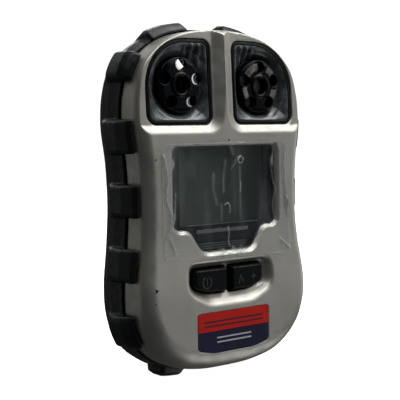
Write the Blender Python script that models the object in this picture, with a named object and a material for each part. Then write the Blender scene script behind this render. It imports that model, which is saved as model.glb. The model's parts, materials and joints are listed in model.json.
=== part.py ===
"""Portable single-gas detector with a belt clip, as an assembly of separate solids.

Sizes are in millimetres and become metres when a mesh is made. X runs to the right, +Z is up and the
front looks along -Y. A place is written as (x, depth, z): depth is the distance behind the flat part
of the front face, and z is the height above a datum just over the surface that the feet stand on.
"""

import math

import bmesh
import bpy
import numpy as np

MM = 0.001

# Overall layout.
FRONT_Y = -18.0  # world Y of the flat front face, so that the box of the whole object is centred on Y = 0
DATUM_Z = 0.4  # world height of z = 0; the feet reach down to z = -DATUM_Z
GAP = 0.3  # clearance between pieces that touch

# Plan of the case, right half, from the top centre down to the bottom centre.
CASE_HALF_PLAN = [
    (0.0, 94.0), (7.6, 93.6), (14.2, 92.2), (21.4, 88.3), (25.5, 83.7), (27.6, 77.1), (28.2, 69.8),
    (26.9, 58.0), (26.5, 48.0), (27.2, 36.0), (28.2, 25.5), (27.9, 18.5), (26.2, 12.6), (23.2, 8.6),
    (18.0, 5.0), (9.5, 2.9), (0.0, 2.5),
]
PLAN_POINTS = 80

# Depths of the case joint and of the back.
FRONT_SHELL_END = 9.0
REAR_SHOULDER = 18.8
BACK_DEPTH = 28.0
WALL = 1.9
LIP_OFFSET = 3.4
HEAD_FLOOR = 5.2  # depth of the inner face behind the windows
SEAL_OFFSETS = (-3.25, -2.45)
SEAL_DEPTHS = (9.3, 10.4)
# Outer and inner profiles of the rear shell, as (offset from the case plan, depth).
REAR_OUTER = [
    (-8.9, BACK_DEPTH), (-6.3, 26.9), (-4.3, 25.0), (-2.6, 23.0), (-1.3, 21.0), (-0.3, REAR_SHOULDER),
    (-2.3, REAR_SHOULDER), (-2.3, 10.7),
]
REAR_INNER = [(-3.9, 10.7), (-3.9, 20.5), (-6.2, 24.0), (-9.0, 26.2)]

# The lower half of the front swells forward; the head carries two sunk pads.
BELLY = 2.0
BELLY_TOP_Z = 43.0
BELLY_FULL_Z = 17.5
HEAD_FILLET = 3.6
FOOT_FILLET = 6.0
PAD_BOTTOM_Z = 68.6
PAD_DEPTH = 1.3
PAD_SLOPE = 0.048
PAD_BOTTOM_FACET = 2.4
PAD_SIDE_FACET = 2.3
BRIDGE_HALF_WIDTH = 0.9

# Sensor and sounder windows, as (x, z, corner radius) of the right-hand one.
WINDOW_CORNERS = [(3.6, 68.6, 2.6), (25.2, 68.6, 3.0), (25.2, 91.2, 13.3), (3.6, 91.5, 2.8)]
GASKET_WIDTH = 0.9
GASKET_REAR = 4.9
LENS_MARGIN = 1.5  # inset of the lens from the window's outline
LENS_REAR = 4.4
LENS_SINK = 0.5  # how far the lens lies behind the pad
GRILLE_X = 13.6
GRILLE_Z = 79.1
GRILLE_RADIUS = 7.3
GRILLE_FRONT = 1.4
GRILLE_REAR = 4.6
GRILLE_HOLES = 5
GRILLE_HOLE_RADIUS = 1.5
GRILLE_HOLE_PITCH = 5.4
GRILLE_CENTRE_HOLE_RADIUS = 2.0
LED_X = 6.6
LED_HALF_WIDTH = 1.6
LED_ZS = (70.3, 72.1)
LED_DEPTHS = (4.8, 7.0)

# Display opening with its lower tab, right half.
DISPLAY_HALF = [(17.7, 63.0, 2.0), (17.7, 41.0, 2.0), (12.6, 41.0, 3.6), (8.6, 34.7, 3.6)]

WINDOW_DEPTHS = (0.7, 1.7)
FILM_THICKNESS = 0.15
# Flat rectangles of the display module and the film over it, as (x0, x1, z0, z1).
FILM_BOX = (-21.9, 21.9, 33.0, 64.2)
LCD_FRAME_BOX = (-16.3, 16.3, 37.2, 64.7)
LCD_FRAME_HOLE = (-14.8, 14.8, 41.4, 63.2)
LCD_FRAME_DEPTHS = (2.3, 6.2)
LCD_BOX = (-14.5, 14.5, 41.7, 62.9)
LCD_DEPTHS = (2.6, 4.2)
BACKLIGHT_BOX = (-14.5, 14.5, 44.6, 62.9)
BACKLIGHT_DEPTHS = (4.5, 5.9)
CONNECTOR_BOX = (-13.0, 13.0, 41.9, 43.9)

# Keys and the basin that they sit in, right half.
KEY_FACE_DEPTH = -0.5
KEY_REAR_DEPTH = 3.0
KEY_TRAVEL = 0.8
# Cross-sections of a key from its face inward, as (inset of the plan, depth).
KEY_SECTIONS = [(0.95, KEY_FACE_DEPTH), (0.6, -0.2), (0.0, 1.2), (0.0, KEY_REAR_DEPTH)]
KEY_CORNERS = [(0.6, 30.4, 0.5), (12.1, 30.4, 1.2), (12.1, 25.2, 2.2), (7.5, 23.7, 6.0), (0.6, 23.5, 0.5)]
KEY_CENTRE = (6.3, 27.0)
SWITCH_HALF_WIDTH = 2.0
SWITCH_FRONT = 8.4
MEMBRANE_HALF_WIDTH = 13.4
MEMBRANE_ZS = (22.2, 31.4)
MEMBRANE_THICKNESS = 0.8
MEMBRANE_POST_RADIUS = 1.6
BASIN_FLOOR_DEPTH = 1.4
BASIN_FLOOR_HALF = [(12.8, 31.0, 1.6), (12.8, 24.8, 2.8), (7.5, 23.2, 7.0)]
BASIN_MOUTH_DEPTH = -1.6
BASIN_MOUTH_HALF = [(14.9, 32.6, 3.0), (14.9, 24.4, 5.0), (7.6, 20.8, 10.0)]
BASIN_BELT_Z = (18.5, 35.0)
BASIN_BELT_DEPTH = 3.1

# Labels.
REAR_LABEL_BOX = (-13.5, 13.5, 12.5, 29.5)
REAR_LABEL_THICKNESS = 0.2
LABEL_SINK = 0.05
LABEL_HALF = [(12.3, 18.7, 0.8), (12.3, 8.9, 1.2), (7.0, 7.7, 12.0)]
LABEL_RECESS = 0.5

# Rubber bumper: profile of the band as (depth, offset from the case plan).
BAND_FRONT = 9.3
BAND_RIDGE = 14.0
BAND_REAR = 18.5
BAND_INNER_OFFSET = -2.0
SIDE_LUG_OFFSET = 2.9
SIDE_LUG_FRONT = 2.8
FOOT_FRONT = 10.2
LUG_RAMP = 0.45
# Each right-hand lug from the top down: start and end on the plan, how far it stands out, front depth.
LUGS = [
    ((6.2, 93.7), (18.0, 90.7), 2.9, 8.4),
    ((23.3, 86.6), (27.2, 79.6), 3.6, 5.0),
    ((28.2, 70.3), (27.2, 61.4), SIDE_LUG_OFFSET, SIDE_LUG_FRONT),
    ((26.6, 53.7), (26.5, 44.7), SIDE_LUG_OFFSET, SIDE_LUG_FRONT),
    ((27.2, 36.8), (28.1, 27.7), SIDE_LUG_OFFSET, SIDE_LUG_FRONT),
    ((27.9, 19.8), (25.2, 11.0), SIDE_LUG_OFFSET, 4.0),
    ((14.9, 4.1), (7.2, 2.7), 3.7, FOOT_FRONT),
]

# Inside: board, display module, sensor, sounder, battery and motor.
BOARD_FRONT = 9.6
BOARD_REAR = 10.8
BOARD_OFFSET = -4.6
BOARD_TOP_Z = 66.0
CHIP_BOX = (-5.0, 5.0, 50.0, 60.0)
FILTER_RADIUS = 6.0
SENSOR_SEAL_RADIUS = 7.0
SENSOR_RADIUS = 7.4
SENSOR_REAR = 20.0
SENSOR_BOARD_BOTTOM_Z = 70.0
SOUNDER_PROFILE = [(7.0, 5.6), (7.0, 12.0), (6.0, 12.6)]  # (radius, depth)
BATTERY_RADIUS = 7.0
BATTERY_HALF_LENGTH = 16.7
BATTERY_PLACE = (19.0, 36.0)  # depth, z of its axis
CONTACT_HALF_WIDTH = 4.0
CONTACT_THICKNESS = 0.5
MOTOR_PLACE = (14.6, 19.0)
# The motor's can and shaft as (x, radius), and the swinging weight on the shaft.
MOTOR_PROFILE = [(-12.0, 1.9), (-11.7, 2.2), (-3.0, 2.2), (-2.7, 1.9), (-2.7, 0.4), (2.2, 0.4)]
WEIGHT_RADIUS = 2.1
WEIGHT_HUB = 0.85
WEIGHT_BORE_RADIUS = 0.46
WEIGHT_XS = (-2.2, 1.6)
CASE_SCREWS = [(-19.2, 58.5), (19.2, 58.5), (-16.5, 14.0), (16.5, 14.0)]
BOSS_RADIUS = 2.5
SCREW_RADIUS = 1.0
SCREW_HEAD_RADIUS = 1.9
SCREW_HEAD_FRONT = 23.7

# Belt clip on the back.
CLIP_PIVOT = (33.0, 69.0)  # depth, z of the pin
CLIP_PIN_RADIUS = 1.0
CLIP_SHEET = 0.9
CLIP_BORE_RADIUS = CLIP_PIN_RADIUS + 0.06
CLIP_PLATE_BOX = (-9.0, 9.0, 35.0, 80.0)
CLIP_EAR_X = 7.2
CLIP_EAR_RADIUS = 2.3
CLIP_KNUCKLE_RADIUS = 3.2
CLIP_HEAD_RADIUS = 2.3
SPRING_RADIUS = 1.75
SPRING_TURNS = 4
SPRING_HALF_LENGTH = 3.4
SPRING_WIRE_RADIUS = 0.35
CLIP_JAW_HALF_WIDTH = 6.6
CLIP_SCREW_ZS = (48.0, 60.0)
# Side view of the sprung jaw from its biting tip to its thumb pad, as (depth, z).
JAW_LINE = [
    (30.1, 37.5), (32.6, 38.2), (35.2, 40.5), (37.0, 46.0), (37.45, 54.0), (37.0, 62.0), (36.1, 68.0),
    (35.7, 73.0), (36.4, 78.0), (37.4, 82.0),
]


def clear_scene():
    for thing in list(bpy.data.objects):
        bpy.data.objects.remove(thing, do_unlink=True)


def material(name, colour, roughness, metallic=0.0, alpha=1.0):
    made = bpy.data.materials.new(name)
    made.use_nodes = True
    shader = made.node_tree.nodes["Principled BSDF"]
    shader.inputs["Base Color"].default_value = (*colour, 1.0)
    shader.inputs["Roughness"].default_value = roughness
    shader.inputs["Metallic"].default_value = metallic
    shader.inputs["Alpha"].default_value = alpha
    made.diffuse_color = (*colour, alpha)
    return made


# Curves and plans ------------------------------------------------------------------------------


def smooth_curve(points, count, closed=False):
    """Evenly spaced points along a smooth curve through the given ones."""
    knots = np.array(points, float)
    if closed:
        knots = np.vstack([knots[-1], knots, knots[:2]])
    else:
        knots = np.vstack([2 * knots[0] - knots[1], knots, 2 * knots[-1] - knots[-2]])
    gaps = np.linalg.norm(np.diff(knots, axis=0), axis=1)
    slopes = np.diff(knots, axis=0) / gaps[:, None]
    before, after = gaps[:-1, None], gaps[1:, None]
    tangents = (slopes[:-1] * after + slopes[1:] * before) / (before + after)
    dense = []
    for i in range(1, len(knots) - 2):
        t = np.linspace(0, 1, 24, endpoint=False)[:, None]
        start, end, gap = knots[i], knots[i + 1], gaps[i]
        dense.append(
            (2 * t**3 - 3 * t**2 + 1) * start
            + (t**3 - 2 * t**2 + t) * gap * tangents[i - 1]
            + (3 * t**2 - 2 * t**3) * end
            + (t**3 - t**2) * gap * tangents[i]
        )
    dense = np.vstack([*dense, knots[len(knots) - 2][None]])
    travel = np.concatenate([[0], np.cumsum(np.linalg.norm(np.diff(dense, axis=0), axis=1))])
    wanted = np.linspace(0, travel[-1], count + closed)[: count]
    return np.column_stack([np.interp(wanted, travel, dense[:, k]) for k in range(dense.shape[1])])


def mirrored(half):
    """A closed plan from its right half, which runs from the top centre to the bottom centre."""
    return half + [(-x, z) for x, z in reversed(half[1:-1])]


FINE_PLAN = smooth_curve(mirrored(CASE_HALF_PLAN), 1920, closed=True)
FINE_STEP = np.roll(FINE_PLAN, -4, 0) - np.roll(FINE_PLAN, 4, 0)
FINE_NORMAL = np.column_stack([-FINE_STEP[:, 1], FINE_STEP[:, 0]])
FINE_NORMAL /= np.linalg.norm(FINE_NORMAL, axis=1)[:, None]
PLAN_LENGTH = float(np.linalg.norm(np.roll(FINE_PLAN, -1, 0) - FINE_PLAN, axis=1).sum())


def plan_at(places, offset):
    """Points of the case plan, moved outward by offset, at the given fractions of its length."""
    at = np.mod(np.asarray(places, float), 1.0) * len(FINE_PLAN)
    index = np.arange(len(FINE_PLAN) + 1)
    on = [np.interp(at, index, np.append(FINE_PLAN[:, k], FINE_PLAN[0, k])) for k in (0, 1)]
    out = [np.interp(at, index, np.append(FINE_NORMAL[:, k], FINE_NORMAL[0, k])) for k in (0, 1)]
    return np.column_stack(on) + np.column_stack(out) * np.asarray(offset, float).reshape(-1, 1)


def place_on_plan(x, z):
    """Fraction of the plan's length nearest to a point."""
    return float(np.argmin(np.hypot(FINE_PLAN[:, 0] - x, FINE_PLAN[:, 1] - z))) / len(FINE_PLAN)


def ring(offset, depth, count=PLAN_POINTS):
    """The case plan at an offset and a depth, which may each differ from point to point."""
    plan = plan_at(np.arange(count) / count, np.broadcast_to(offset, count))
    return np.column_stack([plan[:, 0], np.broadcast_to(depth, count), plan[:, 1]])


def rounded(corners, steps=5):
    """A closed polygon of (x, z, radius) corners, each replaced by an arc of its radius."""
    points = []
    for i, (x, z, radius) in enumerate(corners):
        corner = np.array([x, z])
        back = np.array(corners[i - 1][:2]) - corner
        on = np.array(corners[(i + 1) % len(corners)][:2]) - corner
        back /= np.linalg.norm(back)
        on /= np.linalg.norm(on)
        half_angle = math.acos(max(-1.0, min(1.0, float(back @ on)))) / 2
        inward = (back + on) / np.linalg.norm(back + on)
        centre = corner + inward * radius / math.sin(half_angle)
        touch = radius / math.tan(half_angle)
        first = corner + back * touch - centre
        last = corner + on * touch - centre
        start = math.atan2(first[1], first[0])
        turn = math.remainder(math.atan2(last[1], last[0]) - start, 2 * math.pi)
        for k in range(steps + 1):
            angle = start + turn * k / steps
            points.append(tuple(centre + radius * np.array([math.cos(angle), math.sin(angle)])))
    return points


def whole(half):
    """A polygon of corners that is symmetrical about X = 0, from its right half."""
    return half + [(-x, z, radius) for x, z, radius in reversed(half)]


def inset(points, distance):
    """A closed polygon moved inward all round by a distance; a negative one moves it outward."""
    plan = np.array(points, float)
    edge = np.roll(plan, -1, 0) - plan
    edge /= np.linalg.norm(edge, axis=1)[:, None]
    area = np.sum(plan[:, 0] * np.roll(plan[:, 1], -1) - np.roll(plan[:, 0], -1) * plan[:, 1])
    inward = np.column_stack([-edge[:, 1], edge[:, 0]]) * np.sign(area)
    both = inward + np.roll(inward, 1, 0)
    both /= 1 + np.sum(inward * np.roll(inward, 1, 0), axis=1)[:, None]
    return [tuple(p) for p in plan + both * distance]


def divided(points, step):
    """The same polygon with extra points, so that no edge is longer than step."""
    result = []
    for (x0, z0), (x1, z1) in zip(points, points[1:] + points[:1]):
        pieces = max(1, math.ceil(math.hypot(x1 - x0, z1 - z0) / step))
        result += [(x0 + (x1 - x0) * k / pieces, z0 + (z1 - z0) * k / pieces) for k in range(pieces)]
    return result


def circle(x, z, radius, count=32):
    angles = [2 * math.pi * k / count for k in range(count)]
    return [(x + radius * math.cos(a), z + radius * math.sin(a)) for a in angles]


def rectangle(x0, x1, z0, z1, radius=0.4, steps=2):
    corners = [(x0, z0, radius), (x1, z0, radius), (x1, z1, radius), (x0, z1, radius)]
    return rounded(corners, steps)


def flip(points):
    """The mirror image of a polygon across X = 0."""
    return [(-x, z) for x, z in points]


# Front surface -----------------------------------------------------------------------------------


def ease(t):
    t = np.clip(t, 0.0, 1.0)
    return t * t * (3 - 2 * t)


def front_depth(z):
    """Depth of the front face at a height, without the pads: it swells forward towards the foot."""
    return -BELLY * ease((BELLY_TOP_Z - np.asarray(z, float)) / (BELLY_TOP_Z - BELLY_FULL_Z))


def edge_fillet(z):
    """Radius of the rounded front edge at a height."""
    return HEAD_FILLET + (FOOT_FILLET - HEAD_FILLET) * ease((26.0 - np.asarray(z, float)) / 18.0)


def pad_depth(z):
    """Depth of the sunk pads around the two windows."""
    return PAD_DEPTH + PAD_SLOPE * (np.asarray(z, float) - PAD_BOTTOM_Z)


def floor_depth(z):
    """Depth of the inner face of the front shell: thicker in the head and behind the keys."""
    z = np.asarray(z, float)
    plain = front_depth(z) + WALL
    belt = (z > BASIN_BELT_Z[0]) & (z < BASIN_BELT_Z[1])
    return np.where(z > PAD_BOTTOM_Z - 1.4, HEAD_FLOOR, np.where(belt, BASIN_BELT_DEPTH, plain))


# Meshes ------------------------------------------------------------------------------------------


def make_object(name, points, faces, finish=None, origin=None):
    """A mesh object from (x, depth, z) points, with its origin at the given (x, depth, z)."""
    shift = np.array([0.0, FRONT_Y, DATUM_Z])
    base = np.zeros(3) if origin is None else (np.array(origin, float) + shift) * MM
    places = (np.array(points, float) + shift) * MM - base
    mesh = bpy.data.meshes.new(name)
    mesh.from_pydata([tuple(p) for p in places], [], faces)
    work = bmesh.new()
    work.from_mesh(mesh)
    bmesh.ops.recalc_face_normals(work, faces=work.faces[:])
    work.to_mesh(mesh)
    work.free()
    made = bpy.data.objects.new(name, mesh)
    made.location = tuple(base)
    bpy.context.collection.objects.link(made)
    if finish:
        mesh.materials.append(finish)
    mesh.shade_smooth()
    mesh.set_sharp_from_angle(angle=math.radians(32))
    return made


def bands(first_ring, count, rings, closed=False):
    """Quads between successive rings of count points each."""
    faces = []
    for r in range(rings if closed else rings - 1):
        here = first_ring + r * count
        there = first_ring + (r + 1) % rings * count
        for i in range(count):
            j = (i + 1) % count
            faces.append((here + i, here + j, there + j, there + i))
    return faces


def loft(name, rings, finish=None, origin=None, closed=False):
    """A solid through rings of points; its two ends are filled, unless the last ring meets the first."""
    count = len(rings[0])
    points = [tuple(p) for one in rings for p in one]
    faces = bands(0, count, len(rings), closed)
    if not closed:
        faces.append(tuple(range(count)))
        faces.append(tuple(range(len(points) - count, len(points))))
    return make_object(name, points, faces, finish, origin)


def at_depth(plan, depth):
    """A polygon in the (x, z) plane, placed at a depth: a number, or a function of z."""
    return [(x, float(depth(z)) if callable(depth) else depth, z) for x, z in plan]


def plate(name, plan, front, rear, finish=None, origin=None):
    """A flat piece with the outline of plan between two depths."""
    return loft(name, [at_depth(plan, front), at_depth(plan, rear)], finish, origin)


def frame_plate(name, outer, inner, front, rear, finish=None):
    """A flat piece with one hole; outer and inner are polygons with the same number of points."""
    rings = [at_depth(outer, front), at_depth(inner, front), at_depth(inner, rear), at_depth(outer, rear)]
    return loft(name, rings, finish, closed=True)


def along_x(name, side, x0, x1, finish=None, origin=None):
    """A solid with the (depth, z) outline side between two values of x."""
    rings = [[(x, depth, z) for depth, z in side] for x in (x0, x1)]
    return loft(name, rings, finish, origin)


def turned(name, profile, centre, finish=None, origin=None, count=24):
    """A solid turned about a line along the depth; profile is (radius, depth) from front to rear."""
    x, z = centre
    rings = [at_depth(circle(x, z, radius, count), depth) for radius, depth in profile]
    return loft(name, rings, finish, origin)


def tube(name, path, radius, finish=None, sides=8):
    """A round wire along a path of (x, depth, z) points."""
    path = np.array(path, float)
    heading = np.gradient(path, axis=0)
    heading /= np.linalg.norm(heading, axis=1)[:, None]
    side = np.cross(heading[0], [0.31, 0.83, 0.47])
    rings = []
    for point, ahead in zip(path, heading):
        side = side - ahead * (side @ ahead)
        side /= np.linalg.norm(side)
        other = np.cross(ahead, side)
        angles = [2 * math.pi * k / sides for k in range(sides)]
        rings.append([point + radius * (math.cos(a) * side + math.sin(a) * other) for a in angles])
    return loft(name, rings, finish)


def capped_shell(name, outer, inner, finish):
    """A cup: outer rings from the closed face to the rim, then inner rings from the rim to the floor.

    The closed face and the floor are each a ladder of faces between mirrored points of their ring,
    so they can swell and dip with height.
    """
    count = PLAN_POINTS
    rings = outer + inner
    points = [tuple(p) for one in rings for p in one]
    faces = bands(0, count, len(rings))
    for first in (0, len(points) - count):
        rows = [[first]]
        rows += [[first + i, first + count - i] for i in range(1, count // 2)]
        rows.append([first + count // 2])
        for above, below in zip(rows, rows[1:]):
            faces.append((*above, *reversed(below)))
    return make_object(name, points, faces, finish)


def combine(target, operation, *others):
    """Adds a Boolean of each other object to the target, and turns that object into a helper."""
    for other in others:
        modifier = target.modifiers.new(other.name, "BOOLEAN")
        modifier.operation = operation
        modifier.solver = "EXACT"
        modifier.object = other
        other.hide_render = True
        other.display_type = "WIRE"


def cut(target, *others):
    combine(target, "DIFFERENCE", *others)


def join(target, *others):
    combine(target, "UNION", *others)


# Finishes ------------------------------------------------------------------------------------------


def finishes():
    return {
        "silver": material("silver_paint", (0.42, 0.40, 0.36), 0.42, 0.35),
        "rubber": material("black_rubber", (0.018, 0.022, 0.025), 0.62),
        "rear": material("rear_plastic", (0.03, 0.03, 0.032), 0.55),
        "seal": material("seal_rubber", (0.05, 0.05, 0.05), 0.7),
        "smoke": material("smoke_lens", (0.10, 0.11, 0.12), 0.06, 0.0, 0.45),
        "gasket": material("gasket_rubber", (0.012, 0.013, 0.015), 0.5),
        "grille": material("grille_plastic", (0.015, 0.016, 0.018), 0.35),
        "key": material("key_plastic", (0.012, 0.016, 0.02), 0.4),
        "membrane": material("keypad_rubber", (0.12, 0.12, 0.13), 0.7),
        "window": material("window_plastic", (0.35, 0.37, 0.38), 0.05, 0.0, 0.3),
        "film": material("film_plastic", (0.85, 0.87, 0.88), 0.08, 0.0, 0.15),
        "lcd": material("lcd_glass", (0.11, 0.14, 0.13), 0.12),
        "frame": material("lcd_frame_plastic", (0.05, 0.05, 0.055), 0.5),
        "light": material("light_guide", (0.75, 0.78, 0.74), 0.3),
        "zebra": material("zebra_rubber", (0.30, 0.30, 0.33), 0.7),
        "board": material("board_laminate", (0.02, 0.16, 0.08), 0.45),
        "chip": material("chip_epoxy", (0.02, 0.02, 0.022), 0.5),
        "switch": material("switch_metal", (0.62, 0.62, 0.60), 0.35, 0.9),
        "sensor": material("sensor_body", (0.70, 0.70, 0.68), 0.45),
        "filter": material("filter_membrane", (0.86, 0.86, 0.84), 0.8),
        "sounder": material("sounder_body", (0.03, 0.03, 0.035), 0.45),
        "led": material("led_resin", (0.75, 0.08, 0.05), 0.15),
        "motor": material("motor_can", (0.66, 0.66, 0.65), 0.3, 0.9),
        "weight": material("weight_metal", (0.45, 0.42, 0.38), 0.35, 0.9),
        "battery": material("battery_wrap", (0.12, 0.25, 0.42), 0.35),
        "contact": material("contact_metal", (0.70, 0.70, 0.70), 0.3, 0.95),
        "screw": material("screw_steel", (0.50, 0.50, 0.50), 0.3, 0.95),
        "clip": material("clip_steel", (0.58, 0.58, 0.57), 0.28, 0.95),
        "label": material("front_label_print", (0.48, 0.02, 0.01), 0.35),
        "rear_label": material("rear_label_print", (0.55, 0.56, 0.57), 0.4),
    }


# Case ----------------------------------------------------------------------------------------------


def window_plan(side):
    plan = rounded(WINDOW_CORNERS, 6)
    return plan if side > 0 else flip(plan)


def pad_cutter(side):
    """Removes one sunk pad, with sloping facets below it and beside the bridge."""
    front = -0.6
    rings = []
    for spread, depth in ((1.0 + -front / PAD_DEPTH, front), (0.0, None)):
        inner_x = BRIDGE_HALF_WIDTH + PAD_SIDE_FACET * (1 - spread)
        bottom_z = PAD_BOTTOM_Z - PAD_BOTTOM_FACET * spread
        corners = [(inner_x, bottom_z, 2.6), (40.0, bottom_z, 0.5), (40.0, 104.0, 0.5), (inner_x, 104.0, 0.5)]
        plan = rounded(corners, 6)
        plan = plan if side > 0 else flip(plan)
        rings.append(at_depth(plan, front if depth is not None else pad_depth))
    return loft(f"pad_cutter_{'right' if side > 0 else 'left'}", rings)


def front_shell(finish):
    on_plan = ring(0.0, 0.0)
    height = on_plan[:, 2]
    radius = edge_fillet(height)
    outer = []
    for angle in (0, 22.5, 45, 67.5, 90):
        turn = math.radians(angle)
        swell = front_depth(height) * math.cos(turn)
        outer.append(ring(-radius * (1 - math.sin(turn)), radius * (1 - math.cos(turn)) + swell))
    outer.append(ring(0.0, FRONT_SHELL_END))
    inner_radius = np.maximum(radius - WALL, 0.5)
    floor = floor_depth(height)
    inner = [
        ring(-LIP_OFFSET, FRONT_SHELL_END),
        ring(-LIP_OFFSET, 7.4),
        ring(-WALL, 6.8),
        ring(-WALL, np.minimum(floor + inner_radius, 6.4)),
        ring(-WALL - inner_radius * 0.3, np.minimum(floor + inner_radius * 0.3, 6.1)),
        ring(-WALL - inner_radius, floor),
    ]
    shell = capped_shell("front_shell", outer, inner, finish)
    for x, z in CASE_SCREWS:
        root = float(front_depth(z)) + 1.3
        boss = turned(f"front_boss_{x}_{z}", [(BOSS_RADIUS, root), (BOSS_RADIUS, FRONT_SHELL_END)], (x, z),
                      count=16)
        join(shell, boss)
    pads = [pad_cutter(side) for side in (-1, 1)]
    holes = [plate(f"window_cutter_{side}", window_plan(side), -1.0, 7.0) for side in (-1, 1)]
    display = plate("display_cutter", rounded(whole(DISPLAY_HALF)), -3.0, 5.0)
    mouth = rounded(whole(BASIN_MOUTH_HALF), 8)
    floor_plan = rounded(whole(BASIN_FLOOR_HALF), 8)
    basin = loft("basin_cutter", [at_depth(mouth, BASIN_MOUTH_DEPTH), at_depth(floor_plan, BASIN_FLOOR_DEPTH)])
    cut(shell, *pads, *holes, display, basin)
    for side in (-1, 1):
        cut(shell, plate(f"key_cutter_{side}", inset(key_plan(side), -GAP), -3.0, 6.0))
    label = rounded(whole(LABEL_HALF), 6)
    cut(shell, plate("label_cutter", inset(label, -GAP), -4.0, LABEL_RECESS - BELLY))
    for x, z in CASE_SCREWS:
        pilot = [(SCREW_RADIUS + 0.1, 2.8), (SCREW_RADIUS + 0.1, 10.0)]
        cut(shell, turned(f"pilot_{x}_{z}", pilot, (x, z), count=12))
    return shell


def rear_shell(finish):
    outer = [ring(offset, depth) for offset, depth in REAR_OUTER]
    inner = [ring(offset, depth) for offset, depth in REAR_INNER]
    shell = capped_shell("rear_shell", outer, inner, finish)
    for x, z in CASE_SCREWS:
        join(shell, turned(f"rear_boss_{x}_{z}", [(BOSS_RADIUS, 9.4), (BOSS_RADIUS, 26.4)], (x, z), count=16))
    for z in CLIP_SCREW_ZS:
        join(shell, turned(f"clip_boss_{z}", [(BOSS_RADIUS, 23.4), (BOSS_RADIUS, 26.6)], (0.0, z)))
    bore_radius, head_bore_radius = SCREW_RADIUS + GAP, SCREW_HEAD_RADIUS + 0.4
    for x, z in CASE_SCREWS:
        bore = [(bore_radius, 9.0), (bore_radius, SCREW_HEAD_FRONT - GAP)]
        bore += [(head_bore_radius, SCREW_HEAD_FRONT - GAP), (head_bore_radius, 30.0)]
        cut(shell, turned(f"screw_bore_{x}_{z}", bore, (x, z), count=16))
    for z in CLIP_SCREW_ZS:
        bore = [(bore_radius, 24.2), (bore_radius, 30.0)]
        cut(shell, turned(f"clip_bore_{z}", bore, (0.0, z), count=16))
    return shell


def case_seal(finish):
    inner, outer = SEAL_OFFSETS
    front, rear = SEAL_DEPTHS
    rings = [ring(o, d, 48) for o, d in [(inner, front), (outer, front), (outer, rear), (inner, rear)]]
    return loft("case_seal", rings, finish, closed=True)


def lug_spans():
    """Each lug as (start, end, offset, front), with places in fractions of the plan's length, both sides."""
    spans = []
    for start, end, offset, front in LUGS:
        first, last = place_on_plan(*start), place_on_plan(*end)
        spans += [(first, last, offset, front), (1 - last, 1 - first, offset, front)]
    return sorted(spans)


def bumper_stations(spans):
    """(place, lug height from 0 to 1, offset, front) at each station round the bumper."""
    stations = []
    ramp, shoulder = LUG_RAMP / PLAN_LENGTH, 1.5 / PLAN_LENGTH
    for index, (start, end, offset, front) in enumerate(spans):
        rounded_front = front + 1.1
        stations += [(start - ramp, 0.0, offset, front), (start + ramp, 1.0, offset, rounded_front)]
        inner = max(3, round((end - start) * PLAN_LENGTH / 3.2))
        for k in range(inner):
            place = start + shoulder + (end - start - 2 * shoulder) * k / (inner - 1)
            stations.append((place, 1.0, offset, front))
        stations += [(end - ramp, 1.0, offset, rounded_front), (end + ramp, 0.0, offset, front)]
        following = spans[(index + 1) % len(spans)][0] + (index + 1 == len(spans))
        between = max(2, round((following - end) * PLAN_LENGTH / 3.4))
        for k in range(1, between):
            stations.append((end + (following - end) * k / between, 0.0, offset, front))
    return stations


def bumper_profile(height, offset, lug_front):
    """The bumper's cross-section as (depth, offset) points, with its lug raised by height."""
    front = (BAND_FRONT - 0.2) + height * (lug_front - BAND_FRONT + 0.2)
    foot = lug_front >= FOOT_FRONT

    def between(low, high):
        return low + height * (high - low)

    return [
        (front, GAP),
        (front, between(0.4, 0.9)),
        (front + between(0.1, 1.1), between(0.5, offset - 1.0)),
        (between(BAND_FRONT + 1.6, max(lug_front + 2.2, 8.2)), between(0.6, offset - 0.2)),
        (between(BAND_RIDGE, BAND_RIDGE - 1.0), between(1.0, offset)),
        (between(BAND_RIDGE + 3.0, 16.4), between(0.6, offset if foot else 1.3)),
        (BAND_REAR, between(0.1, offset - 0.5 if foot else -0.2)),
        (BAND_REAR, BAND_INNER_OFFSET),
        (BAND_FRONT, BAND_INNER_OFFSET),
        (BAND_FRONT, GAP),
    ]


def rubber_bumper(finish):
    rings = []
    for place, height, offset, front in bumper_stations(lug_spans()):
        section = []
        for depth, out in bumper_profile(height, offset, front):
            x, z = plan_at([place], [out])[0]
            section.append((x, depth, max(z, -DATUM_Z)))
        rings.append(section)
    return loft("rubber_bumper", rings, finish, closed=True)


# Head ----------------------------------------------------------------------------------------------


def polar(plan, centre, radius):
    """A circle whose points lie on the same rays from the centre as the points of the plan."""
    away = np.array(plan) - np.array(centre)
    return [tuple(p) for p in np.array(centre) + radius * away / np.linalg.norm(away, axis=1)[:, None]]


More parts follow.
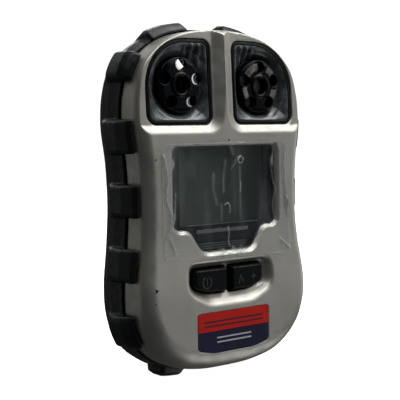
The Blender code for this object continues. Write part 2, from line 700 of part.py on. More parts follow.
def window_parts(side, word, looks):
    plan = window_plan(side)
    centre = (side * GRILLE_X, GRILLE_Z)

    def gasket_face(z):
        return pad_depth(z) + 0.2

    def lens_face(z):
        return pad_depth(z) + LENS_SINK

    gasket_hole = inset(plan, GAP + GASKET_WIDTH)
    frame_plate(f"{word}_lens_gasket", inset(plan, GAP), gasket_hole, gasket_face, GASKET_REAR, looks["gasket"])
    lens_plan = divided(inset(plan, LENS_MARGIN), 2.2)
    lens_hole = polar(lens_plan, centre, GRILLE_RADIUS + GAP)
    frame_plate(f"{word}_lens", lens_plan, lens_hole, lens_face, LENS_REAR, looks["smoke"])
    profile = [(GRILLE_RADIUS - 0.5, GRILLE_FRONT), (GRILLE_RADIUS, GRILLE_FRONT + 0.5)]
    profile.append((GRILLE_RADIUS, GRILLE_REAR))
    disc = turned(f"{word}_grille", profile, centre, looks["grille"], count=32)
    for k in range(GRILLE_HOLES):
        angle = math.radians(90 + 360 * k / GRILLE_HOLES)
        x = centre[0] + GRILLE_HOLE_PITCH * math.cos(angle)
        z = centre[1] + GRILLE_HOLE_PITCH * math.sin(angle)
        profile = [(GRILLE_HOLE_RADIUS, GRILLE_FRONT - 1), (GRILLE_HOLE_RADIUS, GRILLE_REAR + 1)]
        cut(disc, turned(f"{word}_hole_{k}", profile, (x, z), count=12))
    profile = [(GRILLE_CENTRE_HOLE_RADIUS, GRILLE_FRONT - 1), (GRILLE_CENTRE_HOLE_RADIUS, GRILLE_REAR + 1)]
    cut(disc, turned(f"{word}_hole_centre", profile, centre, count=16))
    led = rectangle(side * LED_X - LED_HALF_WIDTH, side * LED_X + LED_HALF_WIDTH, *LED_ZS)
    plate(f"{word}_alarm_led", led, *LED_DEPTHS, looks["led"])


def sensor_parts(looks):
    right, left = (GRILLE_X, GRILLE_Z), (-GRILLE_X, GRILLE_Z)
    filter_front = GRILLE_REAR + GAP
    turned("sensor_filter", [(FILTER_RADIUS, filter_front), (FILTER_RADIUS, filter_front + 0.5)], right,
           looks["filter"])
    outer, inner = circle(*right, SENSOR_SEAL_RADIUS), circle(*right, FILTER_RADIUS + GAP)
    seal_rear = filter_front + 1.0
    frame_plate("sensor_seal", outer, inner, filter_front, seal_rear, looks["seal"])
    body = [(SENSOR_RADIUS - 0.5, seal_rear + GAP), (SENSOR_RADIUS, seal_rear + 0.8)]
    body.append((SENSOR_RADIUS, SENSOR_REAR))
    turned("gas_sensor", body, right, looks["sensor"], count=32)
    turned("sounder", SOUNDER_PROFILE, left, looks["sounder"], count=28)
    sensor_board_front = SENSOR_REAR + GAP
    plate("sensor_board", clipped_plan(BOARD_OFFSET, SENSOR_BOARD_BOTTOM_Z, CASE_HALF_PLAN[0][1]),
          sensor_board_front, sensor_board_front + 1.0, looks["board"])


def clipped_plan(offset, low, high):
    """The case plan at an offset, cut off by two level lines."""
    plan = plan_at(np.arange(72) / 72, np.full(72, offset))
    return [tuple(p) for p in plan if low <= p[1] <= high]


# Display, keys and board -----------------------------------------------------------------------------


def display_parts(looks):
    opening = rounded(whole(DISPLAY_HALF))
    plate("display_window", inset(opening, GAP), *WINDOW_DEPTHS, looks["window"])

    def film_face(z):
        return float(front_depth(z)) - GAP - FILM_THICKNESS

    def film_back(z):
        return float(front_depth(z)) - GAP

    plate("display_film", rectangle(*FILM_BOX, 1.2), film_face, film_back, looks["film"])
    outer, inner = rectangle(*LCD_FRAME_BOX, 1.0), rectangle(*LCD_FRAME_HOLE, 0.5)
    frame_plate("lcd_frame", outer, inner, *LCD_FRAME_DEPTHS, looks["frame"])
    plate("lcd_panel", rectangle(*LCD_BOX, 0.3), *LCD_DEPTHS, looks["lcd"])
    plate("lcd_backlight", rectangle(*BACKLIGHT_BOX, 0.3), *BACKLIGHT_DEPTHS, looks["light"])
    connector = rectangle(*CONNECTOR_BOX, 0.3)
    plate("lcd_connector", connector, BACKLIGHT_DEPTHS[0], BOARD_FRONT - GAP, looks["zebra"])


def key_plan(side, margin=0.0):
    """Outline of a key, moved inward by a margin with its corners kept round."""
    sharp = inset([(x, z) for x, z, _ in KEY_CORNERS], margin)
    corners = [(x, z, max(radius - margin, 0.3)) for (x, z), (_, _, radius) in zip(sharp, KEY_CORNERS)]
    plan = rounded(corners, 4)
    return plan if side > 0 else flip(plan)


def key_parts(looks):
    for side, word in ((-1, "left"), (1, "right")):
        centre = (side * KEY_CENTRE[0], KEY_FACE_DEPTH, KEY_CENTRE[1])
        rings = [at_depth(key_plan(side, margin), depth) for margin, depth in KEY_SECTIONS]
        loft(f"{word}_key", rings, looks["key"], centre)
        x, z, half = side * KEY_CENTRE[0], KEY_CENTRE[1], SWITCH_HALF_WIDTH
        can = rectangle(x - half, x + half, z - half, z + half, 0.5)
        plate(f"{word}_key_switch", can, SWITCH_FRONT, BOARD_FRONT - GAP, looks["switch"])
    mat_front = KEY_REAR_DEPTH + KEY_TRAVEL + 0.2
    mat_rear = mat_front + MEMBRANE_THICKNESS
    mat_plan = rectangle(-MEMBRANE_HALF_WIDTH, MEMBRANE_HALF_WIDTH, *MEMBRANE_ZS, 1.2, 4)
    mat = plate("keypad_membrane", mat_plan, mat_front, mat_rear, looks["membrane"])
    for side in (-1, 1):
        post = [(MEMBRANE_POST_RADIUS, mat_front + 0.4), (MEMBRANE_POST_RADIUS, SWITCH_FRONT - GAP)]
        join(mat, turned(f"membrane_post_{side}", post, (side * KEY_CENTRE[0], KEY_CENTRE[1]), count=16))


def board_parts(looks):
    board = plate("circuit_board", clipped_plan(BOARD_OFFSET, 0.0, BOARD_TOP_Z), BOARD_FRONT, BOARD_REAR,
                  looks["board"])
    for x, z in CASE_SCREWS:
        notch = [(BOSS_RADIUS + GAP, 8.0), (BOSS_RADIUS + GAP, 12.0)]
        cut(board, turned(f"board_notch_{x}_{z}", notch, (x, z), count=20))
    chip_front = BOARD_REAR + GAP
    plate("processor_chip", rectangle(*CHIP_BOX, 0.2, 1), chip_front, chip_front + 1.2, looks["chip"])


# Battery and motor -----------------------------------------------------------------------------------


def round_side(centre, radius, count=28):
    depth, z = centre
    return [(depth + radius * math.cos(2 * math.pi * k / count), z + radius * math.sin(2 * math.pi * k / count))
            for k in range(count)]


def bar_along_x(name, centre, profile, finish, origin=None, count=28):
    """A solid turned about a line along X; profile is (x, radius) from left to right."""
    rings = [[(x, d, z) for d, z in round_side(centre, radius, count)] for x, radius in profile]
    return loft(name, rings, finish, origin)


def battery_parts(looks):
    depth, z = BATTERY_PLACE
    end = BATTERY_HALF_LENGTH
    profile = [(-end, BATTERY_RADIUS - 0.5), (-end + 0.5, BATTERY_RADIUS), (end - 1.3, BATTERY_RADIUS)]
    profile += [(end - 0.9, BATTERY_RADIUS - 0.5), (end - 0.9, 2.6), (end, 2.6)]
    bar_along_x("battery", BATTERY_PLACE, profile, looks["battery"])
    for side, word in ((1, "positive"), (-1, "negative")):
        x = side * (end + GAP)
        low, high = z - CONTACT_HALF_WIDTH, z + CONTACT_HALF_WIDTH
        front, rear = BOARD_REAR + 0.4, depth + CONTACT_HALF_WIDTH
        side_view = [(front, low), (front, high), (rear, high), (rear, low)]
        ends = sorted((x, x + side * CONTACT_THICKNESS))
        along_x(f"battery_contact_{word}", side_view, ends[0], ends[1], looks["contact"])


def motor_parts(looks):
    depth, z = MOTOR_PLACE
    bar_along_x("vibration_motor", MOTOR_PLACE, MOTOR_PROFILE, looks["motor"], count=20)
    outline = [(depth + WEIGHT_RADIUS * math.cos(a), z + WEIGHT_RADIUS * math.sin(a))
               for a in np.linspace(math.pi, 2 * math.pi, 12)]
    outline += [(depth + WEIGHT_HUB, z), (depth + WEIGHT_HUB, z + WEIGHT_HUB)]
    outline += [(depth - WEIGHT_HUB, z + WEIGHT_HUB), (depth - WEIGHT_HUB, z)]
    weight = along_x("vibration_weight", outline, *WEIGHT_XS, looks["weight"], (0.0, depth, z))
    bore_profile = [(-3.0, WEIGHT_BORE_RADIUS), (3.0, WEIGHT_BORE_RADIUS)]
    bore = bar_along_x("weight_bore", MOTOR_PLACE, bore_profile, None, count=16)
    cut(weight, bore)


# Fasteners -------------------------------------------------------------------------------------------


def case_screws(looks):
    for number, (x, z) in enumerate(CASE_SCREWS, 1):
        head, rear = SCREW_HEAD_FRONT, SCREW_HEAD_FRONT + 1.5
        profile = [(0.5, 3.0), (SCREW_RADIUS, 3.6), (SCREW_RADIUS, head)]
        profile += [(SCREW_HEAD_RADIUS, head), (SCREW_HEAD_RADIUS, rear - 0.3), (SCREW_HEAD_RADIUS - 0.3, rear)]
        turned(f"case_screw_{number}", profile, (x, z), looks["screw"], count=16)


def labels(looks):
    plan = rounded(whole(LABEL_HALF), 6)
    plate("front_label", plan, LABEL_SINK - BELLY, LABEL_SINK + 0.15 - BELLY, looks["label"])
    rear = BACK_DEPTH + GAP
    plan = rectangle(*REAR_LABEL_BOX, 1.2, 4)
    plate("rear_label", plan, rear, rear + REAR_LABEL_THICKNESS, looks["rear_label"])


# Belt clip -------------------------------------------------------------------------------------------


def sheet_side(line, thickness, count):
    """The side view of a bent sheet that follows a line of (depth, z) points."""
    middle = smooth_curve(line, count)
    step = np.gradient(middle, axis=0)
    out = np.column_stack([-step[:, 1], step[:, 0]]) / np.linalg.norm(step, axis=1)[:, None]
    first = middle + out * thickness / 2
    second = middle - out * thickness / 2
    return [tuple(p) for p in np.vstack([first, second[::-1]])]


def belt_clip(looks):
    pivot_depth, pivot_z = CLIP_PIVOT
    rear = BACK_DEPTH + GAP
    base = plate("clip_plate", rectangle(*CLIP_PLATE_BOX, 2.5, 5), rear, rear + CLIP_SHEET, looks["clip"])
    ear = [(rear + 0.2, 62.0), (rear + 0.2, 76.0), (rear + 2.0, 75.0)]
    ear += [(pivot_depth + CLIP_EAR_RADIUS * math.cos(a), pivot_z + CLIP_EAR_RADIUS * math.sin(a))
            for a in np.linspace(1.3, -1.3, 9)]
    ear += [(rear + 2.0, 63.0)]
    for side in (-1, 1):
        ends = sorted((side * CLIP_EAR_X, side * (CLIP_EAR_X + CLIP_SHEET)))
        join(base, along_x(f"clip_ear_{side}", ear, *ends))
    bore = [(-12.0, CLIP_BORE_RADIUS), (12.0, CLIP_BORE_RADIUS)]
    cut(base, bar_along_x("pin_hole", CLIP_PIVOT, bore, None, count=20))
    for z in CLIP_SCREW_ZS:
        cut(base, turned(f"clip_plate_hole_{z}", [(1.4, 27.0), (1.4, 31.0)], (0.0, z), count=16))

    pin = [(-8.9, 1.5), (-8.4, 1.5), (-8.4, CLIP_PIN_RADIUS), (8.4, CLIP_PIN_RADIUS), (8.4, 1.5), (8.9, 1.5)]
    bar_along_x("clip_pin", CLIP_PIVOT, pin, looks["screw"], count=20)

    hinge = (0.0, pivot_depth, pivot_z)
    width = CLIP_JAW_HALF_WIDTH
    jaw = along_x("clip_jaw", sheet_side(JAW_LINE, CLIP_SHEET, 30), -width, width, looks["clip"], hinge)
    for side in (-1, 1):
        ends = sorted((side * width, side * (width - 1.0)))
        knuckle = [(end, CLIP_KNUCKLE_RADIUS) for end in ends]
        join(jaw, bar_along_x(f"jaw_knuckle_{side}", CLIP_PIVOT, knuckle, None, count=24))
    cut(jaw, bar_along_x("jaw_bore", CLIP_PIVOT, bore, None, count=20))

    path = [(-3.6, 29.7, 62.5), (-3.6, 30.2, 65.5)]
    steps = SPRING_TURNS * 10
    for k in range(steps + 1):
        angle = math.pi + 2 * math.pi * k / 10
        path.append((SPRING_HALF_LENGTH * (2 * k / steps - 1), pivot_depth + SPRING_RADIUS * math.cos(angle),
                     pivot_z - SPRING_RADIUS * math.sin(angle)))
    path += [(3.6, 31.6, 71.6), (3.6, 34.6, 75.8)]
    tube("clip_spring", path, SPRING_WIRE_RADIUS, looks["contact"], sides=5)

    for word, z in zip(("lower", "upper"), CLIP_SCREW_ZS):
        head = rear + CLIP_SHEET + GAP
        profile = [(0.5, 24.5), (SCREW_RADIUS, 25.0), (SCREW_RADIUS, head)]
        profile += [(CLIP_HEAD_RADIUS, head), (CLIP_HEAD_RADIUS, head + 0.5)]
        profile.append((CLIP_HEAD_RADIUS - 0.6, head + 0.9))
        turned(f"clip_screw_{word}", profile, (0.0, z), looks["screw"], count=20)


def build():
    clear_scene()
    looks = finishes()
    front_shell(looks["silver"])
    rear_shell(looks["rear"])
    case_seal(looks["seal"])
    rubber_bumper(looks["rubber"])
    for side, word in ((-1, "left"), (1, "right")):
        window_parts(side, word, looks)
    sensor_parts(looks)
    display_parts(looks)
    key_parts(looks)
    board_parts(looks)
    battery_parts(looks)
    motor_parts(looks)
    case_screws(looks)
    labels(looks)
    belt_clip(looks)


build()
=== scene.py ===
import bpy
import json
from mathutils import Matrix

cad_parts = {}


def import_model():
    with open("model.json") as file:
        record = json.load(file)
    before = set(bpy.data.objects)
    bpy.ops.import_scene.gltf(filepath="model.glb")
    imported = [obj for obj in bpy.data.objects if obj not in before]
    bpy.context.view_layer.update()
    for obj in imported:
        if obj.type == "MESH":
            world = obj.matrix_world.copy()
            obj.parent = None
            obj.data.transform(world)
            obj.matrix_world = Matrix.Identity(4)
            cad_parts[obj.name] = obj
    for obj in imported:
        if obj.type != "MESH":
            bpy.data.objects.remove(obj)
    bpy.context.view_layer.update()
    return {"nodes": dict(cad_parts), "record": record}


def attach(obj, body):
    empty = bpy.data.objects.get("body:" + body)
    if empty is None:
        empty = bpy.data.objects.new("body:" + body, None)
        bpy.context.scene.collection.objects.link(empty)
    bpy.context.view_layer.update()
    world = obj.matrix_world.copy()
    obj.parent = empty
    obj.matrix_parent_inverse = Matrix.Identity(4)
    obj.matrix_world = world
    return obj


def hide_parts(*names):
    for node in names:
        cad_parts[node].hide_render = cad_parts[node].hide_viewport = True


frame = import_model()

import copy
import json
import math

import bmesh
import bpy
import numpy as np
import openvdb
from mathutils import Matrix, Vector

SLOTS = {row["node"]: row["material_slot"] for row in frame["record"]["subparts"]}

# Looks of the portable gas detector. Sizes are in millimetres. A place is (x, depth, z), where depth
# is the distance behind the flat front face and z the height above the datum of the case plan. Each
# moulded piece is a distance field on a regular grid, which keeps its edges softly rounded.
MM = 0.001
FRONT_Y = -18.0
DATUM_Z = 0.4
GAP = 0.3

CASE_HALF_PLAN = [
    (0.0, 94.0), (7.6, 93.6), (14.2, 92.2), (21.4, 88.3), (25.5, 83.7), (27.6, 77.1), (28.2, 69.8),
    (26.9, 58.0), (26.5, 48.0), (27.2, 36.0), (28.2, 25.5), (27.9, 18.5), (26.2, 12.6), (23.2, 8.6),
    (18.0, 5.0), (9.5, 2.9), (0.0, 2.5),
]
FRONT_SHELL_END = 9.0
WALL = 1.9
HEAD_CEILING = 5.2
KEY_CEILING = 3.1
BELLY = 2.0
BELLY_TOP_Z = 43.0
BELLY_FULL_Z = 17.5
HEAD_FILLET = 3.6
FOOT_FILLET = 6.0
FILLET_TOP_Z = 26.0
FILLET_CHANGE = 18.0
PAD_BOTTOM_Z = 68.6
PAD_DEPTH = 1.3
PAD_SLOPE = 0.048
PAD_FACET = 2.35
PAD_INNER_X = 3.2
# The pads run out past the edge of the case.
PAD_CORNERS = [(PAD_INNER_X, PAD_BOTTOM_Z, 2.6), (44, PAD_BOTTOM_Z, 1), (44, 110, 1), (PAD_INNER_X, 110, 1)]
PAD_SOFTNESS = 0.15
WINDOW_CORNERS = [(3.6, 68.6, 2.6), (25.2, 68.6, 3.0), (25.2, 91.2, 13.3), (3.6, 91.5, 2.8)]
GRILLE_X = 13.6
GRILLE_Z = 79.1
GRILLE_RADIUS = 7.3
GRILLE_REAR = 4.6
GRILLE_RING = (2.75, 1.90, 0.32)
GRILLE_BORE = 2.15
HOLE_CIRCLE = 5.4
HOLE_RADIUS = 1.62
LENS_BORDER = 1.12
LENS_SINK = 0.25
LENS_FALL = 2.5
LENS_THICKNESS = 1.0
FLUTE_HEIGHT = 0.42
FLUTE_PITCH = 2.2
DISPLAY_HALF = [(17.7, 63.0, 2.0), (17.7, 41.0, 2.0), (12.6, 41.0, 3.6), (8.6, 34.7, 3.6)]
KEY_CORNERS = [(0.6, 30.4, 0.5), (12.1, 30.4, 1.2), (12.1, 25.2, 2.2), (7.5, 23.7, 6.0), (0.6, 23.5, 0.5)]
KEY_FACE_DEPTH = -0.5
KEY_REAR_DEPTH = 3.0
KEY_MIDDLE = (6.0, 27.0)
KEY_CROWN = 0.0042
KEY_DRAFT = 0.30
BASIN_FLOOR_DEPTH = 1.4
BASIN_FLOOR_HALF = [(12.8, 31.0, 1.6), (12.8, 24.8, 2.8), (7.5, 23.2, 7.0)]
BASIN_MOUTH_HALF = [(14.9, 32.6, 3.0), (14.9, 24.4, 5.0), (7.6, 20.8, 10.0)]
BASIN_MOUTH_DEPTH = -1.6
LABEL_HALF = [(12.3, 18.7, 0.8), (12.3, 8.9, 1.2), (7.0, 7.7, 12.0)]
LABEL_SPLIT_Z = 13.7
LABEL_FRONT = -BELLY + 0.05
RIGHT_CASE_SCREWS = [(19.2, 58.5), (16.5, 14.0)]
SCREW_POST_RADIUS = 2.5
SCREW_PILOT_RADIUS = 1.1
SCREW_BORE_RADIUS = 1.3
SCREW_HEAD_RADIUS = 2.3
SCREW_SEAT = 23.4
BAND_REAR = 18.5
BAND_PROFILE = [
    (9.1, GAP), (9.1, 0.4), (9.3, 0.55), (10.9, 0.62), (14.0, 1.0), (17.0, 0.6), (BAND_REAR, 0.1),
    (BAND_REAR, -2.0), (9.3, -2.0), (9.3, GAP),
]
REAR_END = 28.0
REAR_PROFILE = [
    (10.7, -2.3), (18.8, -2.3), (18.8, -0.3), (21.0, -1.3), (23.0, -2.6), (25.0, -4.3), (26.9, -6.3),
    (28.0, -8.9), (28.0, -60.0), (26.2, -60.0), (26.2, -9.0), (24.0, -6.2), (20.5, -3.9), (10.7, -3.9),
]
# Each right-hand lug from the top down: start and end on the plan, how far it stands out, front depth.
LUGS = [
    ((6.2, 93.7), (18.0, 90.7), 2.9, 8.4),
    ((23.3, 86.6), (27.2, 79.6), 3.6, 5.0),
    ((28.2, 70.3), (27.2, 61.4), 2.9, 2.8),
    ((26.6, 53.7), (26.5, 44.7), 2.9, 2.8),
    ((27.2, 36.8), (28.1, 27.7), 2.9, 2.8),
    ((27.9, 19.8), (25.2, 11.0), 2.9, 4.0),
    ((14.9, 4.1), (7.2, 2.7), 3.7, 10.2),
]
FOOT_FRONT = 10.2
# Grids of the moulded pieces: low corner, high corner and step.
FRONT_GRID = ((0.0, -3.2, 1.4), (29.2, 9.8, 95.0), 0.2)
REAR_GRID = ((0.0, 9.0, 1.4), (29.2, 28.6, 95.0), 0.22)
BUMPER_GRID = ((0.0, 2.2, -1.0), (32.0, 19.2, 97.6), 0.2)
LENS_GRID = ((2.6, 0.4, 67.6), (26.2, 6.0, 92.6), 0.12)
GASKET_GRID = ((2.6, 0.4, 67.6), (26.2, 5.6, 92.6), 0.12)
KEY_GRID = ((-0.2, KEY_FACE_DEPTH - 0.6, 22.2), (13.0, 3.4, 31.2), 0.09)
GRILLE_STEP = 0.1
CLIP_SCREW_ZS = (48.0, 60.0)
CLIP_POST_RADIUS = 2.6


# Outlines ------------------------------------


def smooth_curve(points, count, closed=False):
    """Evenly spaced points along a smooth curve through the given ones."""
    knots = np.array(points, float)
    if closed:
        knots = np.vstack([knots[-1], knots, knots[:2]])
    else:
        knots = np.vstack([2 * knots[0] - knots[1], knots, 2 * knots[-1] - knots[-2]])
    gaps = np.linalg.norm(np.diff(knots, axis=0), axis=1)
    slopes = np.diff(knots, axis=0) / gaps[:, None]
    before, after = gaps[:-1, None], gaps[1:, None]
    tangents = (slopes[:-1] * after + slopes[1:] * before) / (before + after)
    dense = []
    for i in range(1, len(knots) - 2):
        t = np.linspace(0, 1, 24, endpoint=False)[:, None]
        start, end, gap = knots[i], knots[i + 1], gaps[i]
        dense.append(
            (2 * t**3 - 3 * t**2 + 1) * start
            + (t**3 - 2 * t**2 + t) * gap * tangents[i - 1]
            + (3 * t**2 - 2 * t**3) * end
            + (t**3 - t**2) * gap * tangents[i]
        )
    dense = np.vstack([*dense, knots[len(knots) - 2][None]])
    travel = np.concatenate([[0], np.cumsum(np.linalg.norm(np.diff(dense, axis=0), axis=1))])
    wanted = np.linspace(0, travel[-1], count + closed)[:count]
    return np.column_stack([np.interp(wanted, travel, dense[:, k]) for k in range(dense.shape[1])])


def rounded(corners, steps=10):
    """A closed polygon of (x, z, radius) corners, each replaced by an arc of its radius."""
    points = []
    for i, (x, z, radius) in enumerate(corners):
        corner = np.array([x, z])
        back = np.array(corners[i - 1][:2]) - corner
        on = np.array(corners[(i + 1) % len(corners)][:2]) - corner
        back /= np.linalg.norm(back)
        on /= np.linalg.norm(on)
        half_angle = math.acos(max(-1.0, min(1.0, float(back @ on)))) / 2
        inward = (back + on) / np.linalg.norm(back + on)
        centre = corner + inward * radius / math.sin(half_angle)
        touch = radius / math.tan(half_angle)
        first = corner + back * touch - centre
        last = corner + on * touch - centre
        start = math.atan2(first[1], first[0])
        turn = math.remainder(math.atan2(last[1], last[0]) - start, 2 * math.pi)
        for k in range(steps + 1):
            angle = start + turn * k / steps
            points.append(tuple(centre + radius * np.array([math.cos(angle), math.sin(angle)])))
    return points


def rounded_box(x0, x1, z0, z1, radius, steps=10):
    return rounded([(x0, z0, radius), (x1, z0, radius), (x1, z1, radius), (x0, z1, radius)], steps)


def straight(start, end, count):
    """Evenly spaced points from one place to another."""
    return [(start[0] + (end[0] - start[0]) * t, start[1] + (end[1] - start[1]) * t)
            for t in np.linspace(0, 1, count)]


def whole(half):
    """Corners of a shape that is symmetrical about X = 0, from its right half."""
    return half + [(-x, z, radius) for x, z, radius in reversed(half)]


def ease(t):
    """0 up to t = 0, 1 from t = 1, and a smooth step between them."""
    t = np.clip(t, 0.0, 1.0)
    return t * t * (3 - 2 * t)


def front_depth(z):
    """Depth of the front face at a height, without the pads: it swells forward towards the foot."""
    return -BELLY * ease((BELLY_TOP_Z - z) / (BELLY_TOP_Z - BELLY_FULL_Z))


def edge_fillet(z):
    """Radius between the front face and the side of the case, wider towards the foot."""
    return HEAD_FILLET + (FOOT_FILLET - HEAD_FILLET) * ease((FILLET_TOP_Z - z) / FILLET_CHANGE)


def pad_depth(z):
    return PAD_DEPTH + PAD_SLOPE * (z - PAD_BOTTOM_Z)


LEFT_PLAN = [(-x, z) for x, z in reversed(CASE_HALF_PLAN[1:-1])]
CASE_PLAN = smooth_curve(CASE_HALF_PLAN + LEFT_PLAN, 480, closed=True)


# Distance fields -----------------------------


class Block:
    """A regular grid over a box of (x, depth, z), in millimetres."""

    def __init__(self, low, high, step):
        self.low = np.array(low, float)
        self.step = step
        counts = [int(math.ceil((b - a) / step)) + 1 for a, b in zip(low, high)]
        axes = [low[k] + step * np.arange(counts[k]) for k in range(3)]
        self.x = axes[0].reshape(-1, 1, 1).astype(np.float32)
        self.d = axes[1].reshape(1, -1, 1).astype(np.float32)
        self.z = axes[2].reshape(1, 1, -1).astype(np.float32)

    def mirrored(self):
        """The same grid, starting from the mirror image of its right-hand end."""
        other = copy.copy(self)
        other.low = np.array([-float(self.x.max()), self.low[1], self.low[2]])
        return other

    def outline(self, polygon, travel=False):
        """Signed distance to a polygon in the (x, z) plane; with travel, also how far along it."""
        return polygon_distance(self.x, self.z, polygon, travel)

    def lathe(self, away, profile):
        """Distance to a profile polygon in the (depth, away) plane, where away is a field of (x, z)."""
        step = self.step / 2
        steps = np.arange(float(away.min()) - step, float(away.max()) + 2 * step, step).astype(np.float32)
        table = polygon_distance(self.d.reshape(-1, 1), steps.reshape(1, -1), profile)
        place = (away - steps[0]) / step
        below = np.clip(place.astype(np.int32), 0, len(steps) - 2)
        share = (place - below)[:, 0, :]
        below = below[:, 0, :]
        field = np.empty((self.x.size, self.d.size, self.z.size), np.float32)
        for j in range(self.d.size):
            row = table[j]
            field[:, j, :] = row[below] * (1 - share) + row[below + 1] * share
        return field


def polygon_distance(u, v, polygon, travel=False):
    """Signed distance from (u, v) to a closed polygon, negative inside; u and v broadcast together."""
    points = np.array(polygon, np.float32)
    shape = np.broadcast_shapes(u.shape, v.shape)
    best = np.full(shape, np.inf, np.float32)
    along = np.zeros(shape, np.float32)
    inside = np.zeros(shape, bool)
    passed = 0.0
    for (u0, v0), (u1, v1) in zip(points, np.roll(points, -1, 0)):
        du, dv = u1 - u0, v1 - v0
        length = float(math.hypot(du, dv))
        if length < 1e-6:
            continue
        t = np.clip(((u - u0) * du + (v - v0) * dv) / length**2, 0, 1)
        gap = (u - u0 - t * du) ** 2 + (v - v0 - t * dv) ** 2
        nearer = gap < best
        best = np.where(nearer, gap, best)
        if travel:
            along = np.where(nearer, passed + t * length, along)
        crosses = (v0 > v) != (v1 > v)
        if dv != 0:
            inside ^= crosses & (u < u0 + (v - v0) * du / dv)
        passed += length
    distance = np.sqrt(best) * np.where(inside, -1, 1).astype(np.float32)
    return (distance, along) if travel else distance


def meet(a, b, radius):
    """The overlap of two fields, its edge rounded to a radius."""
    round_part = np.sqrt(np.maximum(a + radius, 0) ** 2 + np.maximum(b + radius, 0) ** 2)
    return np.minimum(np.maximum(a, b), -radius) + round_part


def cut(a, b, radius):
    """Field a without field b, its edge rounded to a radius."""
    return meet(a, -b, radius)


def join(a, b, radius):
    """Both fields together, with a fillet of a radius between them."""
    return -meet(-a, -b, radius)


def slopes_of(block, height):
    """Factor that makes depth differences from a height field true distances."""
    along_x = np.gradient(height[:, 0, :], block.step, axis=0)
    along_z = np.gradient(height[:, 0, :], block.step, axis=1)
    return (1 / np.sqrt(1 + along_x**2 + along_z**2))[:, None, :]


def values_at(field, points):
    """The field between its grid points, at places in grid units."""
    size = np.array(field.shape)
    low = np.clip(np.floor(points).astype(int), 0, size - 2)
    part = np.clip(points - low, 0, 1)
    total = np.zeros(len(points))
    for corner in np.ndindex(2, 2, 2):
        weight = np.prod(np.where(corner, part, 1 - part), axis=1)
        i, j, k = (low + corner).T
        total += weight * field[i, j, k]
    return total


def world(points):
    """(x, depth, z) in millimetres to the scene's own axes in metres."""
    return (np.asarray(points, float) + [0.0, FRONT_Y, DATUM_Z]) * MM


def mesh_of(name, block, field, look, detail=0.002):
    """The zero surface of a field as a mesh object, with normals read from the field itself."""
    reach = 4 * block.step
    grid = openvdb.FloatGrid(background=reach)
    grid.copyFromArray(np.clip(field, -reach, reach).astype(np.float32))
    points, triangles, quads = grid.convertToPolygons(0.0, detail)
    faces = [tuple(int(i) for i in f) for f in triangles] + [tuple(int(i) for i in f) for f in quads]
    mesh = bpy.data.meshes.new(name)
    mesh.from_pydata([tuple(p) for p in world(block.low + points * block.step)], [], faces)
    spread = 0.6
    normals = np.zeros((len(points), 3))
    for axis in range(3):
        shift = np.zeros(3)
        shift[axis] = spread
        normals[:, axis] = values_at(field, points + shift) - values_at(field, points - shift)
    normals /= np.maximum(np.linalg.norm(normals, axis=1), 1e-9)[:, None]
    mesh.shade_smooth()
    mesh.normals_split_custom_set_from_vertices([tuple(n) for n in normals])
    mesh.materials.append(LOOKS[look])
    return linked(name, mesh)


def linked(name, data):
    """A new object of this data, in the scene."""
    made = bpy.data.objects.new(name, data)
    bpy.context.scene.collection.objects.link(made)
    return made


def mesh_from(work, name):
    """The mesh of a finished bmesh."""
    mesh = bpy.data.meshes.new(name)
    work.to_mesh(mesh)
    work.free()
    return mesh


def stands_for(piece, cad_node, body="casing"):
    """Puts a piece on a body in place of a CAD node, and hides that node."""
    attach(piece, body)
    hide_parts(cad_node)


def added(piece, body="casing"):
    """A piece that no CAD node has: it rides on a body."""
    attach(piece, body)


# Materials -----------------------------------


def node(tree, kind, **values):
    """A shader node with its sockets and settings given by name."""
    made = tree.nodes.new("ShaderNode" + kind)
    for key, value in values.items():
        if key in made.inputs:
            made.inputs[key].default_value = value
        else:
            setattr(made, key, value)
    return made


def in_object_space(tree):
    return node(tree, "TexCoord").outputs["Object"]


def base_of(material):
    """A material's node tree, its shader, and what feeds the shader's colour."""
    tree = material.node_tree
    shader = tree.nodes["Principled BSDF"]
    return tree, shader, shader.inputs["Base Color"].links[0].from_socket


def noise(tree, scale, detail=4.0, stretch=(1, 1, 1)):
    """Object-space noise, with scale in features per metre."""
    place = node(tree, "Mapping", Scale=stretch)
    made = node(tree, "TexNoise", Scale=scale, Detail=detail)
    tree.links.new(in_object_space(tree), place.inputs["Vector"])
    tree.links.new(place.outputs["Vector"], made.inputs["Vector"])
    return made.outputs["Fac"]


def ramp(tree, source, low, high, at=(0.35, 0.65)):
    """Maps a 0 to 1 value between two numbers, or between two colours."""
    made = node(tree, "ValToRGB")
    for stop, place, value in zip(made.color_ramp.elements, at, (low, high)):
        stop.position = place
        stop.color = (*value, 1.0) if hasattr(value, "__len__") else (value, value, value, 1.0)
    tree.links.new(source, made.inputs["Fac"])
    return made.outputs["Color"]


